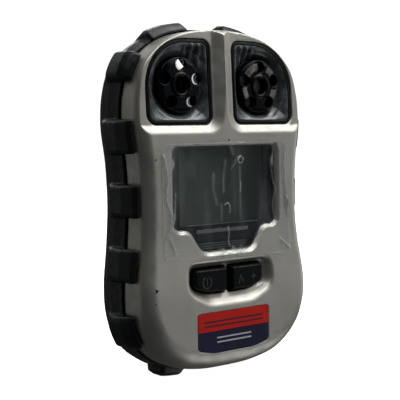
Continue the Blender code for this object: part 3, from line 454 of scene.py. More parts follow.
def surface(name, colour, roughness, metallic=0.0, specular=0.5, grain=2500.0, relief=0.00002,
        mottle=0.12, gloss_spread=0.12, mottle_scale=220.0, stretch=(1, 1, 1), **sockets):
    """A Principled material with mottled colour, uneven roughness and a fine grain in relief."""
    made = bpy.data.materials.new(name)
    made.use_nodes = True
    tree = made.node_tree
    shader = tree.nodes["Principled BSDF"]
    for key, value in (*sockets.items(), ("Metallic", metallic), ("Specular_IOR_Level", specular)):
        shader.inputs[key.replace("_", " ")].default_value = value
    wide = noise(tree, mottle_scale, 6.0, stretch)
    darker = tuple(c * (1 - mottle) for c in colour)
    lighter = tuple(min(1.0, c * (1 + mottle)) for c in colour)
    tree.links.new(ramp(tree, wide, darker, lighter), shader.inputs["Base Color"])
    uneven = noise(tree, mottle_scale * 3.1, 5.0, stretch)
    low, high = max(0.02, roughness - gloss_spread), min(1.0, roughness + gloss_spread)
    tree.links.new(ramp(tree, uneven, low, high), shader.inputs["Roughness"])
    bump = node(tree, "Bump", Strength=0.6, Distance=relief)
    tree.links.new(noise(tree, grain, 3.0, stretch), bump.inputs["Height"])
    tree.links.new(bump.outputs["Normal"], shader.inputs["Normal"])
    return made


def chain(tree, operation, first, second):
    """A Math node of two values, each a number or a socket."""
    made = node(tree, "Math", operation=operation)
    for socket, value in zip(made.inputs, (first, second)):
        if isinstance(value, (int, float)):
            socket.default_value = value
        else:
            tree.links.new(value, socket)
    return made.outputs["Value"]


def axis_share(tree, axis, low, high):
    """0 at the first place along an axis of the object, in metres, and 1 at the second."""
    split = node(tree, "SeparateXYZ")
    tree.links.new(in_object_space(tree), split.inputs["Vector"])
    made = node(tree, "MapRange", **{"From Min": low, "From Max": high})
    tree.links.new(split.outputs[axis], made.inputs["Value"])
    return made.outputs["Result"]


def chips(tree, scale, size, rarity):
    """1 inside small scattered chips, 0 elsewhere; rarity is the share of cells without one."""
    cells = node(tree, "TexVoronoi", Scale=scale)
    tree.links.new(in_object_space(tree), cells.inputs["Vector"])
    split = node(tree, "SeparateColor")
    tree.links.new(cells.outputs["Color"], split.inputs["Color"])
    chosen = chain(tree, "GREATER_THAN", split.outputs["Red"], rarity)
    near = chain(tree, "LESS_THAN", cells.outputs["Distance"], size)
    return chain(tree, "MULTIPLY", chosen, near)


def tint(tree, base, colour, share):
    """The base colour mixed towards another one by a share from 0 to 1."""
    mix = node(tree, "Mix", data_type="RGBA")
    mix.inputs["B"].default_value = (*colour, 1.0)
    tree.links.new(share, mix.inputs["Factor"])
    tree.links.new(base, mix.inputs["A"])
    return mix.outputs["Result"]


def silver_paint():
    """Satin metallic paint: clouded, with scattered chips and dark scuffs near the foot."""
    made = surface("silver_paint", (0.53, 0.52, 0.47), 0.41, metallic=0.80, grain=9000.0, relief=0.000006,
            mottle=0.07, gloss_spread=0.07, mottle_scale=110.0)
    tree, shader, colour = base_of(made)
    flakes = ramp(tree, noise(tree, 5200.0, 2.0), 0.0, 0.35, (0.45, 0.75))
    colour = tint(tree, colour, (0.80, 0.79, 0.74), flakes)
    streaks = ramp(tree, noise(tree, 330.0, 8.0, (1.0, 1.0, 1.6)), 0.0, 1.0, (0.57, 0.66))
    corner = chain(tree, "MULTIPLY", axis_share(tree, "Z", 0.014, 0.003), axis_share(tree, "X", 0.0, 0.018))
    scuffs = chain(tree, "MULTIPLY", chain(tree, "MULTIPLY", corner, streaks), 0.7)
    colour = tint(tree, colour, (0.06, 0.055, 0.05), scuffs)
    colour = tint(tree, colour, (0.02, 0.02, 0.02), chips(tree, 150.0, 0.06, 0.72))
    tree.links.new(colour, shader.inputs["Base Color"])
    return made


def see_through(name, colour, roughness, clear, hazy, haze_scale, painted=False, **sockets):
    """A clear plastic whose opacity drifts between two values; painted adds the mesh's own haze_and_sheen
    attribute to it, painted highlights on the film's creases and cut edges.
    """
    made = surface(name, colour, roughness, grain=700.0, relief=0.00001, mottle=0.04, gloss_spread=0.05,
            **sockets)
    tree, shader, _ = base_of(made)
    haze_and_sheen = ramp(tree, noise(tree, haze_scale, 6.0, (1.0, 1.0, 0.35)), clear, hazy, (0.48, 0.72))
    if painted:
        # Painted highlights: the mesh's attribute makes the film whiter and more opaque on its creases and
        # cut edges.
        film_haze_and_sheen = node(tree, "Attribute", attribute_name="haze_and_sheen")
        uneven = ramp(tree, noise(tree, 900.0, 4.0), 0.45, 1.0)
        haze_and_sheen = chain(tree, "ADD", haze_and_sheen, chain(tree, "MULTIPLY", film_haze_and_sheen.outputs["Fac"], uneven))
    tree.links.new(haze_and_sheen, shader.inputs["Alpha"])
    made.surface_render_method = "BLENDED"
    return made


def lcd_glass():
    """A grey-green display with a painted shadow that darkens it towards its right-hand end, where the
    window's wall shades it.
    """
    made = surface("lcd_glass", (0.105, 0.138, 0.122), 0.45, specular=0.2, relief=0.000002, mottle=0.05)
    tree, shader, colour = base_of(made)
    # Painted shadow: the right-hand end is darkened as if the window's wall shaded it.
    share = chain(tree, "MULTIPLY", axis_share(tree, "X", -0.002, 0.012), 0.95)
    tree.links.new(tint(tree, colour, (0.012, 0.022, 0.018), share), shader.inputs["Base Color"])
    return made


LOOKS = {
    "silver": silver_paint(),
    "rubber": surface("black_rubber", (0.0035, 0.0055, 0.0065), 0.36, specular=0.45, grain=5200.0,
        relief=0.00001, mottle=0.3, gloss_spread=0.10, mottle_scale=260.0),
    "rear": surface("rear_plastic", (0.028, 0.029, 0.031), 0.52, grain=4200.0, relief=0.00002),
    "seal": surface("seal_rubber", (0.05, 0.05, 0.05), 0.7),
    "smoke": surface("smoky_lens", (0.080, 0.092, 0.098), 0.20, grain=420.0, relief=0.00006, mottle=0.75,
        mottle_scale=200.0, Coat_Weight=0.25, IOR=1.5),
    "gasket": surface("gasket_rubber", (0.002, 0.003, 0.004), 0.36, grain=3000.0, relief=0.000008,
        specular=0.18),
    "grille": surface("grille_plastic", (0.001, 0.002, 0.003), 0.18, grain=2600.0, relief=0.000006,
        specular=0.14),
    "key": surface("key_plastic", (0.0012, 0.0028, 0.0035), 0.33, grain=4200.0, relief=0.000008,
        specular=0.16),
    "print": surface("key_print", (0.060, 0.072, 0.078), 0.4),
    # Painted highlights: a glowing white and a grey that stand for the reflections in the left lens holes.
    "crescent": surface("lens_glint", (0.85, 0.86, 0.84), 0.25, Emission_Color=(0.9, 0.92, 0.9, 1.0),
        Emission_Strength=0.35),
    "glint_grey": surface("lens_glint_grey", (0.20, 0.21, 0.21), 0.3, mottle=0.5, mottle_scale=500.0),
    "cream": surface("reflector_cream", (0.16, 0.155, 0.14), 0.35, mottle=0.85, mottle_scale=420.0),
    "membrane": surface("keypad_rubber", (0.12, 0.12, 0.13), 0.7),
    "window": see_through("window_plastic", (0.006, 0.011, 0.016), 0.05, 0.10, 0.16, 90.0, specular=0.25),
    "film": see_through("film_plastic", (0.66, 0.70, 0.71), 0.14, 0.015, 0.070, 160.0, painted=True),
    # Painted highlight: whitish strips along the film's cut edges, where they catch the light.
    "film_edge": see_through("film_edge", (0.80, 0.82, 0.82), 0.14, 0.10, 0.40, 400.0),
    "smudge": see_through("film_smudge", (0.85, 0.86, 0.86), 0.2, 0.30, 0.80, 900.0),
    "smear": see_through("film_smear", (0.80, 0.82, 0.83), 0.25, 0.10, 0.42, 700.0),
    "lcd": lcd_glass(),
    "bezel_line": surface("bezel_line", (0.24, 0.27, 0.29), 0.3),
    "speck": surface("paint_chip", (0.012, 0.011, 0.010), 0.6, mottle=0.4),
    "frame": surface("lcd_frame_plastic", (0.010, 0.014, 0.022), 0.4, specular=0.3),
    "light": surface("light_guide", (0.75, 0.78, 0.74), 0.3),
    "zebra": surface("zebra_rubber", (0.30, 0.30, 0.33), 0.7, stretch=(8, 1, 1)),
    "board": surface("board_laminate", (0.02, 0.16, 0.08), 0.4, mottle=0.2),
    "chip": surface("chip_epoxy", (0.02, 0.02, 0.022), 0.5),
    "switch": surface("switch_metal", (0.62, 0.62, 0.60), 0.35, metallic=0.9),
    "sensor": surface("sensor_body", (0.70, 0.70, 0.68), 0.45),
    "filter": surface("filter_membrane", (0.86, 0.86, 0.84), 0.8, relief=0.00003),
    "sounder": surface("sounder_body", (0.03, 0.03, 0.035), 0.45),
    "led": surface("led_resin", (0.75, 0.08, 0.05), 0.15, Transmission_Weight=0.3),
    "motor": surface("motor_can", (0.66, 0.66, 0.65), 0.3, metallic=0.9, stretch=(1, 6, 6)),
    "weight": surface("weight_metal", (0.45, 0.42, 0.38), 0.35, metallic=0.9),
    "battery": surface("battery_wrap", (0.12, 0.25, 0.42), 0.35),
    "contact": surface("contact_metal", (0.70, 0.70, 0.70), 0.3, metallic=0.95),
    "screw": surface("screw_steel", (0.50, 0.50, 0.50), 0.3, metallic=0.95, mottle=0.2),
    "clip": surface("clip_steel", (0.58, 0.58, 0.57), 0.30, metallic=0.95, grain=2600.0, relief=0.000004,
        mottle=0.06, gloss_spread=0.05, stretch=(1, 1, 8)),
    "label": surface("label_red", (0.72, 0.014, 0.006), 0.5, grain=3000.0, relief=0.000004, mottle=0.05,
        specular=0.25),
    "navy": surface("label_navy", (0.020, 0.020, 0.055), 0.5, grain=3000.0, relief=0.000004, mottle=0.10,
        specular=0.2),
    "label_white": surface("label_white", (0.62, 0.64, 0.70), 0.4, mottle=0.05),
    "label_dark": surface("label_dark", (0.03, 0.012, 0.02), 0.4),
    "rear_label": surface("rear_label_print", (0.50, 0.51, 0.52), 0.4),
}


# Case ----------------------------------------


def both_halves(field):
    """A field over x from 0 outward, completed by its mirror image."""
    return np.concatenate([field[:0:-1], field])


def rod(block, centre, radius, front, rear=math.inf):
    """A round rod that runs from one depth to another."""
    away = np.hypot(block.x - centre[0], block.z - centre[1]) - radius
    return np.maximum(away, np.maximum(front - block.d, block.d - rear))


def front_shell():
    """The silver front half, hollow behind, with its openings and recesses."""
    block = Block(*FRONT_GRID)
    x, d, z = block.x, block.d, block.z
    edge = block.outline(CASE_PLAN)
    plain = front_depth(z) + 0 * x
    body = meet(edge, (plain - d) * slopes_of(block, plain), edge_fillet(z))
    beside_pad = np.maximum(block.outline(rounded(PAD_CORNERS)), -1.0)
    beside_pad = (beside_pad + np.sqrt(beside_pad**2 + PAD_SOFTNESS**2)) / 2
    pad = pad_depth(z) - PAD_DEPTH * beside_pad / PAD_FACET
    body = meet(body, (pad - d) * slopes_of(block, pad), 0.22)
    body = meet(body, d - FRONT_SHELL_END, 0.3)
    body = cut(body, block.outline(rounded(WINDOW_CORNERS, 12)) + 0 * d, 0.30)
    display = block.outline(rounded(whole(DISPLAY_HALF), 12))
    chamfer = np.clip(plain + 1.0 - d, 0, 2.0)
    body = cut(body, (display - chamfer) / 1.12, 0.12)
    mouth = block.outline(rounded(whole(BASIN_MOUTH_HALF), 14))
    floor = block.outline(rounded(whole(BASIN_FLOOR_HALF), 14))
    sunk = (d - BASIN_MOUTH_DEPTH) / (BASIN_FLOOR_DEPTH - BASIN_MOUTH_DEPTH)
    basin = meet((mouth * (1 - sunk) + floor * sunk) / 1.2, d - BASIN_FLOOR_DEPTH, 1.1)
    body = cut(body, basin, 0.7)
    key_hole = block.outline(rounded(KEY_CORNERS, 8)) - GAP
    body = cut(body, key_hole + 0 * d, 0.1)
    label = block.outline(rounded(whole(LABEL_HALF), 10)) - 0.15
    body = cut(body, meet(label, d - plain - 0.22, 0.05), 0.10)
    joint_step = 1.5 * ease((d - 6.8) / 0.6)
    inside_head = ease((z - (PAD_BOTTOM_Z - WALL)) / 0.5)
    behind_keys = ease((z - 18.0) / 0.6) * ease((35.3 - z) / 0.6)
    ceiling = plain + WALL
    ceiling = ceiling + (KEY_CEILING - ceiling) * behind_keys + (HEAD_CEILING - ceiling) * inside_head
    body = cut(body, meet(edge + WALL + joint_step, ceiling - d, 0.8), 0.1)
    for place in RIGHT_CASE_SCREWS:
        post_front = front_depth(place[1]) + 1.3
        body = join(body, rod(block, place, SCREW_POST_RADIUS, post_front, FRONT_SHELL_END), 0.3)
        body = np.maximum(body, -rod(block, place, SCREW_PILOT_RADIUS, 2.8))
    return mesh_of("front_case", block.mirrored(), both_halves(body), "silver", 0.004)


def rear_shell():
    """The black rear half: one profile all round, with screw posts and bores."""
    block = Block(*REAR_GRID)
    body = block.lathe(block.outline(CASE_PLAN), REAR_PROFILE)
    body = meet(body, block.d - REAR_END, 0.6)
    for place in RIGHT_CASE_SCREWS:
        body = join(body, rod(block, place, SCREW_POST_RADIUS, 9.4, 26.4), 0.3)
        bore = rod(block, place, SCREW_BORE_RADIUS, 8.0)
        head = rod(block, place, SCREW_HEAD_RADIUS, SCREW_SEAT)
        body = cut(body, np.minimum(bore, head), 0.15)
    for z in CLIP_SCREW_ZS:
        body = join(body, rod(block, (0.0, z), CLIP_POST_RADIUS, SCREW_SEAT, 26.6), 0.3)
        body = cut(body, rod(block, (0.0, z), SCREW_BORE_RADIUS, 24.2), 0.1)
    return mesh_of("rear_case", block.mirrored(), both_halves(body), "rear", 0.004)


def lug_profile(offset, front):
    """A lug's section in (depth, away); only the feet stay full to the rear."""
    foot = front >= FOOT_FRONT
    return [
        (front, GAP), (front, 0.9), (front + 1.1, offset - 1.0), (max(front + 2.2, 8.2), offset - 0.2),
        (13.0, offset), (16.4, offset if foot else 1.3), (BAND_REAR, offset - 0.5 if foot else -0.2),
        (BAND_REAR, -1.9), (9.4, -1.9), (9.4, GAP),
    ]


def rubber_bumper():
    """The band round the case, with its lugs, cut flat under the feet."""
    block = Block(*BUMPER_GRID)
    edge, along = block.outline(CASE_PLAN, travel=True)
    length = float(np.linalg.norm(np.roll(CASE_PLAN, -1, 0) - CASE_PLAN, axis=1).sum())
    along = np.minimum(along, length - along)
    travel = np.concatenate([[0], np.cumsum(np.linalg.norm(np.diff(CASE_PLAN, axis=0), axis=1))])
    body = meet(block.lathe(edge, BAND_PROFILE), block.d - BAND_REAR, 0.3)
    for start, end, offset, front in LUGS:
        gaps = [np.hypot(CASE_PLAN[:, 0] - x, CASE_PLAN[:, 1] - z) for x, z in (start, end)]
        places = [travel[int(np.argmin(gap))] for gap in gaps]
        middle, half = sum(places) / 2, abs(places[1] - places[0]) / 2
        sides = np.abs(along - middle) - half + 0.30 * np.maximum(edge - 0.5, 0)
        lug = meet(block.lathe(edge, lug_profile(offset, front)) + 0.05, sides / 1.05, 0.95)
        body = join(body, lug, 0.45)
    body = meet(body, -DATUM_Z - block.z, 0.25)
    return mesh_of("bumper", block.mirrored(), both_halves(body), "rubber", 0.004)


# Head ----------------------------------------


def lens(side, word):
    """A clear bowl that falls from the window's edge to the sunk disc, fluted near its inner top corner."""
    block = Block(*LENS_GRID)
    x, d, z = block.x, block.d, block.z
    inside = -(block.outline(rounded(WINDOW_CORNERS, 12)) + LENS_BORDER)
    away = np.hypot(x - GRILLE_X, z - GRILLE_Z) - GRILLE_RADIUS - 0.25
    outward = np.maximum(away, 0)
    rim_share = np.clip(inside / np.maximum(inside + outward, 0.05), 0, 1)
    fall = LENS_FALL * rim_share**1.6 + 0.35 * np.exp(-((outward - 2.6) / 0.5) ** 2) * ease(inside / 1.5)
    flutes = FLUTE_HEIGHT * np.cos((x - 4.0) * 2 * math.pi / FLUTE_PITCH)
    flutes = flutes * ease((z - 82.0) / 4.0) * ease((14.5 - x) / 5.0) * ease(inside / 1.2)
    front = pad_depth(z) + LENS_SINK + fall + flutes
    lean = slopes_of(block, front)
    slab = np.maximum((front - d) * lean, (d - front - LENS_THICKNESS) * lean)
    body = meet(meet(slab, -inside, 0.25), -away, 0.2)
    return mesh_of(f"{word}_bowl", *on_block(block, body, side), "smoke")


def on_block(block, body, side):
    """A block and its field as they are, or both mirrored to the left side."""
    return (block, body) if side > 0 else (block.mirrored(), body[::-1].copy())


def gasket(side, word):
    """A seal between the window's edge and the lens, a little higher on its outer side."""
    block = Block(*GASKET_GRID)
    edge = block.outline(rounded(WINDOW_CORNERS, 12))
    crown = pad_depth(block.z) + 0.10 + 0.25 * ease((edge + 1.4) / 1.4)
    body = meet(meet(edge + 0.12, -(edge + 1.08), 0.15), crown - block.d, 0.2)
    body = meet(body, block.d - 4.9, 0.1)
    return mesh_of(f"{word}_gasket", *on_block(block, body, side), "gasket")


def hole_places(side):
    angles = [math.radians(90 + 72 * k) for k in range(5)]
    x, z, out = side * GRILLE_X, GRILLE_Z, HOLE_CIRCLE
    return [(x + out * math.cos(a), z + out * math.sin(a)) for a in angles]


def grille(side, word):
    """A glossy disc with five holes round a raised ring, all edges softened."""
    cx, cz = side * GRILLE_X, GRILLE_Z
    reach = GRILLE_RADIUS + 0.6
    block = Block((cx - reach, 0.6, cz - reach), (cx + reach, 5.2, cz + reach), GRILLE_STEP)
    x, d, z = block.x, block.d, block.z
    away = np.hypot(x - cx, z - cz)
    dish = 1.9 + 0.35 * ease((away - 5.6) / 1.6) + 0.02 * away
    body = meet(away - GRILLE_RADIUS, dish - d, 0.4)
    ring_radius, ring_depth, ring_tube = GRILLE_RING
    body = join(body, np.hypot(away - ring_radius, d - ring_depth) - ring_tube, 0.5)
    body = meet(body, d - GRILLE_REAR, 0.2)
    for hx, hz in hole_places(side):
        body = cut(body, np.hypot(x - hx, z - hz) - HOLE_RADIUS + 0 * d, 0.28)
    body = cut(body, away - GRILLE_BORE + 0 * d, 0.2)
    return mesh_of(f"{word}_disc", block, body, "grille")


def bridge(work, first, second):
    """Quads between two closed rings of as many points."""
    for i in range(len(first)):
        j = (i + 1) % len(first)
        work.faces.new((first[i], first[j], second[j], second[i]))


def plate_from(name, outline, front, thickness, look, bevel=0.06):
    """A thin plate with a softened edge; front is a depth or a function of (x, z)."""
    work = bmesh.new()
    depth_at = front if callable(front) else (lambda x, z: front)
    rings = []
    centre = np.mean(np.array(outline), axis=0)
    for depth, shrink in ((thickness, 0.0), (bevel, 0.0), (0.0, bevel)):
        ring = []
        for px, pz in outline:
            out = np.array([px, pz]) - centre
            out /= max(np.linalg.norm(out), 1e-6)
            qx, qz = np.array([px, pz]) - out * shrink
            ring.append(work.verts.new(world((qx, depth_at(qx, qz) + depth, qz))))
        rings.append(ring)
    for first, second in zip(rings, rings[1:]):
        bridge(work, first, second)
    work.faces.new(list(reversed(rings[0])))
    work.faces.new(rings[-1])
    bmesh.ops.recalc_face_normals(work, faces=work.faces[:])
    mesh = mesh_from(work, name)
    mesh.materials.append(LOOKS[look])
    return linked(name, mesh)


def crescent(x, z, radius, bite, turn):
    """The part of a disc left of the same disc moved aside by bite, turned by an angle."""
    span = math.acos(bite / 2 / radius)
    outer = [(radius * math.cos(a), radius * math.sin(a)) for a in np.linspace(span, 2 * math.pi - span, 22)]
    inner = [(bite + radius * math.cos(a), radius * math.sin(a))
             for a in np.linspace(2 * math.pi - span - 0.001, span + 0.001, 16)]
    cos, sin = math.cos(turn), math.sin(turn)
    return [(x + px * cos - pz * sin, z + px * sin + pz * cos) for px, pz in outer + inner[1:-1]]


def sector(x, z, inner, outer, start, end, count=26):
    """Part of a flat ring, between two angles in degrees."""
    angles = [math.radians(a) for a in np.linspace(start, end, count)]
    return ([(x + outer * math.cos(a), z + outer * math.sin(a)) for a in angles]
            + [(x + inner * math.cos(a), z + inner * math.sin(a)) for a in reversed(angles)])


# Painted highlights in the left holes, bright plates that glow and grey plates that stand for reflections:
# hole, shift (x, z), radius, bite, turn in degrees, look.
LEFT_PAINTED_GLINTS = [
    (0, -0.25, -0.15, 1.30, 0.75, 42, "crescent"), (4, 0.1, 0.0, 1.40, 0.40, 12, "crescent"),
    (4, 0.55, -0.05, 0.95, 0.25, 5, "glint_grey"), (3, 0.0, 0.0, 1.42, 1.10, 14, "glint_grey"),
    (3, 0.1, -0.05, 1.25, 0.20, 12, "crescent"), (0, 0.45, 0.55, 0.80, 0.25, 200, "glint_grey"),
]
# Pale cream sectors on the right disc, kept only where it is lit, so that its lower part shows painted
# shade: start and end in degrees, inner and outer radius.
RIGHT_REFLECTORS = [(99, 148, 4.5, 6.4), (38, 62, 4.3, 6.2), (184, 214, 4.9, 6.4), (-36, -10, 4.2, 5.9)]


def head():
    for side, word in ((-1, "left"), (1, "right")):
        stands_for(lens(side, word), f"{word}_lens")
        stands_for(gasket(side, word), f"{word}_lens_gasket")
        stands_for(grille(side, word), f"{word}_grille")
    holes = hole_places(-1)
    # Painted highlights: plates in the left holes in place of their reflections.
    for number, (k, aside, above, radius, bite, turn, look) in enumerate(LEFT_PAINTED_GLINTS, 1):
        shape = crescent(holes[k][0] + aside, holes[k][1] + above, radius, bite, math.radians(turn))
        glint = plate_from(f"left_painted_glint_{number}", shape, 2.6 - 0.02 * number, 0.3, look)
        added(glint)
    # Pale sectors only where the disc is lit; painted shade below them.
    for number, (start, end, inner, outer) in enumerate(RIGHT_REFLECTORS, 1):
        shape = sector(GRILLE_X, GRILLE_Z, inner, outer, start, end)
        added(plate_from(f"right_reflector_{number}", shape, 1.78, 0.25, "cream"))


# Display, keys and labels --------------------


# Creases of the film: a line of (x, z) points, height and half width.
FILM_CREASES = [
    ([(-5.3, 55.5), (-5.5, 51.5), (-4.3, 47.2)], 0.30, 0.9),
    ([(-1.2, 58.8), (-1.9, 54.0), (-1.9, 50.6)], 0.32, 0.7),
    ([(-2.7, 47.0), (-2.6, 43.2)], 0.26, 0.8),
    ([(3.9, 57.4), (3.9, 50.0), (3.8, 43.0)], 0.26, 0.5),
    ([(0.8, 56.6), (3.2, 59.4)], 0.34, 0.6),
    ([(0.6, 63.6), (1.6, 60.6)], 0.30, 1.0),
    ([(-21.4, 60.6), (-20.4, 55.0), (-20.8, 49.4), (-18.8, 44.2), (-20.6, 39.5)], 0.55, 0.45),
    ([(-18.0, 50.5), (-18.4, 44.5), (-19.6, 41.0)], 0.40, 0.35),
    ([(20.4, 63.0), (20.2, 58.0), (20.6, 50.0), (21.2, 46.0)], 0.55, 0.45),
    ([(21.4, 48.0), (20.9, 45.8), (21.5, 43.6)], 0.40, 0.30),
    ([(16.2, 62.0), (15.0, 57.0), (15.6, 53.0), (16.8, 50.4), (15.4, 46.0), (16.2, 42.4)], 0.50, 0.40),
    ([(18.2, 36.6), (21.6, 33.6)], 0.45, 0.40),
    ([(-19.6, 39.0), (-18.2, 35.4)], 0.35, 0.6),
]


FILM_CELLS = (150, 108)
FILM_THICKNESS = 0.05
FILM_LEFT = -21.7
FILM_WIDTH = 44.0
FILM_FOOT = 34.0
FILM_DROP = 1.6
FILM_HEIGHT = 29.6
FILM_SPREAD = 1.9
FILM_REACH = 21.9
FILM_CORNERS = [(FILM_LEFT, FILM_FOOT), (21.8, 32.4), (FILM_REACH, 63.8), (FILM_LEFT, 63.6)]
# Smears under the foot of the film: centre (x, z), half width, half height and seed of the outline.
SMEARS = [
    (-3.1, 34.6, 1.3, 1.0, 1.0), (0.9, 34.9, 1.0, 0.8, 2.2), (3.3, 34.3, 1.5, 1.1, 3.1),
    (-0.9, 33.5, 1.0, 0.5, 4.4), (-8.7, 33.9, 0.6, 0.3, 5.0), (5.6, 34.6, 0.5, 0.9, 0.4),
]
BUBBLE = (4.0, 59.2)
BUBBLE_ARCS = [("left", 0.62, 70, 200), ("lower", 0.78, 215, 330), ("right", 0.80, -15, 40)]
DROPS = [
    [(-1.9, 47.2), (-0.5, 47.6), (0.1, 46.4), (-0.1, 44.9)], [(3.8, 53.4), (3.95, 52.2), (3.7, 50.4)],
    [(-0.7, 41.4), (-0.4, 39.3), (-0.6, 37.3), (-0.1, 35.9)],
]
# Lines below the display: name, both ends, height and half width.
BEZEL_LINES = [
    ("upper", -9.4, 8.6, 40.15, 0.50), ("middle", -8.6, 8.0, 36.75, 0.12), ("lower", -8.1, 7.6, 36.1, 0.12),
    ("low", -7.6, 7.2, 35.45, 0.12), ("step", -12.6, 12.4, 41.9, 0.10),
]


def film_lift(x, z):
    """How far the film stands off the case at a place, from its creases and its slack."""
    slack = 0.08 + 0.05 * math.sin(x * 0.9 + 1.7 * math.sin(z * 0.23)) + 0.04 * math.sin(z * 0.55 + x * 0.21)
    return slack + crease_height(x, z, 1.0)


def crease_height(x, z, spread):
    total = 0.0
    for line, tall, wide in FILM_CREASES:
        nearest = min(segment_gap(x, z, a, b) for a, b in zip(line, line[1:]))
        total += tall * math.exp(-((nearest / (wide * spread)) ** 2))
    return total


def segment_gap(x, z, a, b):
    dx, dz = b[0] - a[0], b[1] - a[1]
    t = max(0.0, min(1.0, ((x - a[0]) * dx + (z - a[1]) * dz) / (dx * dx + dz * dz)))
    return math.hypot(x - a[0] - t * dx, z - a[1] - t * dz)


def film_place(u, v):
    """Place on the film, from 0 to 1 along its width and height; it lies slightly askew."""
    x = FILM_LEFT + FILM_WIDTH * u + 0.25 * math.sin(7 * v)
    z = FILM_FOOT - FILM_DROP * u + (FILM_HEIGHT + FILM_SPREAD * u) * v + 0.15 * math.sin(9 * u)
    return max(-FILM_REACH, min(FILM_REACH, x)), z


def display_film():
    """A thin creased sheet over the display."""
    columns, rows = FILM_CELLS
    work = bmesh.new()
    layers = []
    for back in (0.0, FILM_THICKNESS):
        grid = []
        for j in range(rows + 1):
            line = []
            for i in range(columns + 1):
                x, z = film_place(i / columns, j / rows)
                depth = float(front_depth(z)) - 0.12 - film_lift(x, z) + back
                line.append(work.verts.new(world((x, depth, z))))
            grid.append(line)
        layers.append(grid)
    for j in range(rows):
        for i in range(columns):
            for grid, flip in zip(layers, (False, True)):
                face = [grid[j][i], grid[j][i + 1], grid[j + 1][i + 1], grid[j + 1][i]]
                work.faces.new(reversed(face) if flip else face)
    border = [(0, i) for i in range(columns)] + [(j, columns) for j in range(rows)]
    border += [(rows, i) for i in range(columns, 0, -1)] + [(j, 0) for j in range(rows, 0, -1)]
    front, behind = layers
    for (j0, i0), (j1, i1) in zip(border, border[1:] + border[:1]):
        work.faces.new((front[j0][i0], behind[j0][i0], behind[j1][i1], front[j1][i1]))
    bmesh.ops.recalc_face_normals(work, faces=work.faces[:])
    mesh = mesh_from(work, "film_sheet")
    mesh.shade_smooth()
    mesh.set_sharp_from_angle(angle=math.radians(60))
    # Painted highlights: the film is whiter and more opaque along its creases and near its cut edges, where
    # they catch the light; it is also a little hazier over the case.
    haze_and_sheen = mesh.attributes.new("haze_and_sheen", "FLOAT", "POINT")
    for vertex in mesh.vertices:
        x, z = vertex.co.x / MM, vertex.co.z / MM - DATUM_Z
        edge = min(x + 21.9, 22.1 - x, 64.0 - z, z - 32.2)
        on_case = float(ease((abs(x) - 17.0) / 1.5))
        haze_and_sheen.data[vertex.index].value = ((0.42 + 0.5 * on_case) * crease_height(x, z, 0.55) + 0.07 * on_case
                + 0.30 * math.exp(-max(edge, 0) / 0.35))
    mesh.materials.append(LOOKS["film"])
    return linked("film_sheet", mesh)


def ribbon(name, line, front, half_width, thickness, look):
    """A flat strip that follows a line of (x, z) points."""
    points = np.array(line, float)
    step = np.gradient(points, axis=0)
    out = np.column_stack([-step[:, 1], step[:, 0]]) / np.linalg.norm(step, axis=1)[:, None] * half_width
    outline = [tuple(p) for p in np.vstack([points + out, (points - out)[::-1]])]
    return plate_from(name, outline, front, thickness, look, bevel=min(0.04, half_width / 3))


def uneven_outline(x, z, wide, tall, seed):
    """The outline of a smear or a chip."""
    shape = []
    for k in range(28):
        angle = 2 * math.pi * k / 28
        uneven = 1 + 0.22 * math.sin(3 * angle + seed) + 0.14 * math.sin(5 * angle + 2.3 * seed)
        shape.append((x + wide * uneven * math.cos(angle), z + tall * uneven * math.sin(angle)))
    return shape


def display():
    """The film with painted highlights along its cut edges, its smears, bubble and drops, and the border's
    lines.
    """
    stands_for(display_film(), "display_film")
    above_film = lambda x, z: float(front_depth(z)) - 0.14 - film_lift(x, z)
    # Painted highlights: whitish strips along the film's cut edges.
    for number, (start, end) in enumerate(zip(FILM_CORNERS, FILM_CORNERS[1:] + FILM_CORNERS[:1]), 1):
        rim = ribbon(f"film_rim_{number}", straight(start, end, 40), above_film, 0.13, 0.05, "film_edge")
        added(rim)
    for number, (x, z, wide, tall, seed) in enumerate(SMEARS, 1):
        depth = float(front_depth(z)) - 0.45
        shape = uneven_outline(x, z, wide, tall, seed)
        added(plate_from(f"smear_{number}", shape, depth - 0.1, 0.06, "smear"))
    for word, x0, x1, z, half in BEZEL_LINES:
        line = straight((x0, z), (x1, z), 12)
        added(ribbon(f"bezel_line_{word}", line, 1.95, half, 0.2, "bezel_line"))
    added(plate_from("bezel_shade", rounded_box(-9.0, 9.0, 37.5, 39.4, 0.3), 2.0, 0.2, "frame"))
    for word, inner, start, end in BUBBLE_ARCS:
        ring = sector(*BUBBLE, inner, 1.05, start, end, 24)
        added(plate_from(f"bubble_{word}", ring, -0.75, 0.1, "smudge"))
    for number, points in enumerate(DROPS, 1):
        line = [tuple(point) for point in smooth_curve(points, 24)]
        added(ribbon(f"drop_{number}", line, -0.75, 0.11, 0.06, "smudge"))


# Paint chips: centre (x, z), half width, half height and how far below the flat face.
PAINT_CHIPS = [
    (-25.0, 26.3, 0.42, 0.5, 0.02), (-25.5, 23.0, 0.2, 0.2, 0.16), (0.6, 64.5, 0.3, 0.25, 0.0),
    (17.6, 63.3, 0.35, 0.15, 0.0), (-23.6, 59.8, 0.2, 0.25, 0.0),
]


def paint_specks():
    """Small dark spots where the paint is chipped."""
    for number, (x, z, wide, tall, sunk) in enumerate(PAINT_CHIPS, 1):
        shape = uneven_outline(x, z, wide, tall, number)
        depth = float(front_depth(z)) + sunk - 0.03
        added(plate_from(f"paint_chip_{number}", shape, depth, 0.06, "speck", 0.02))


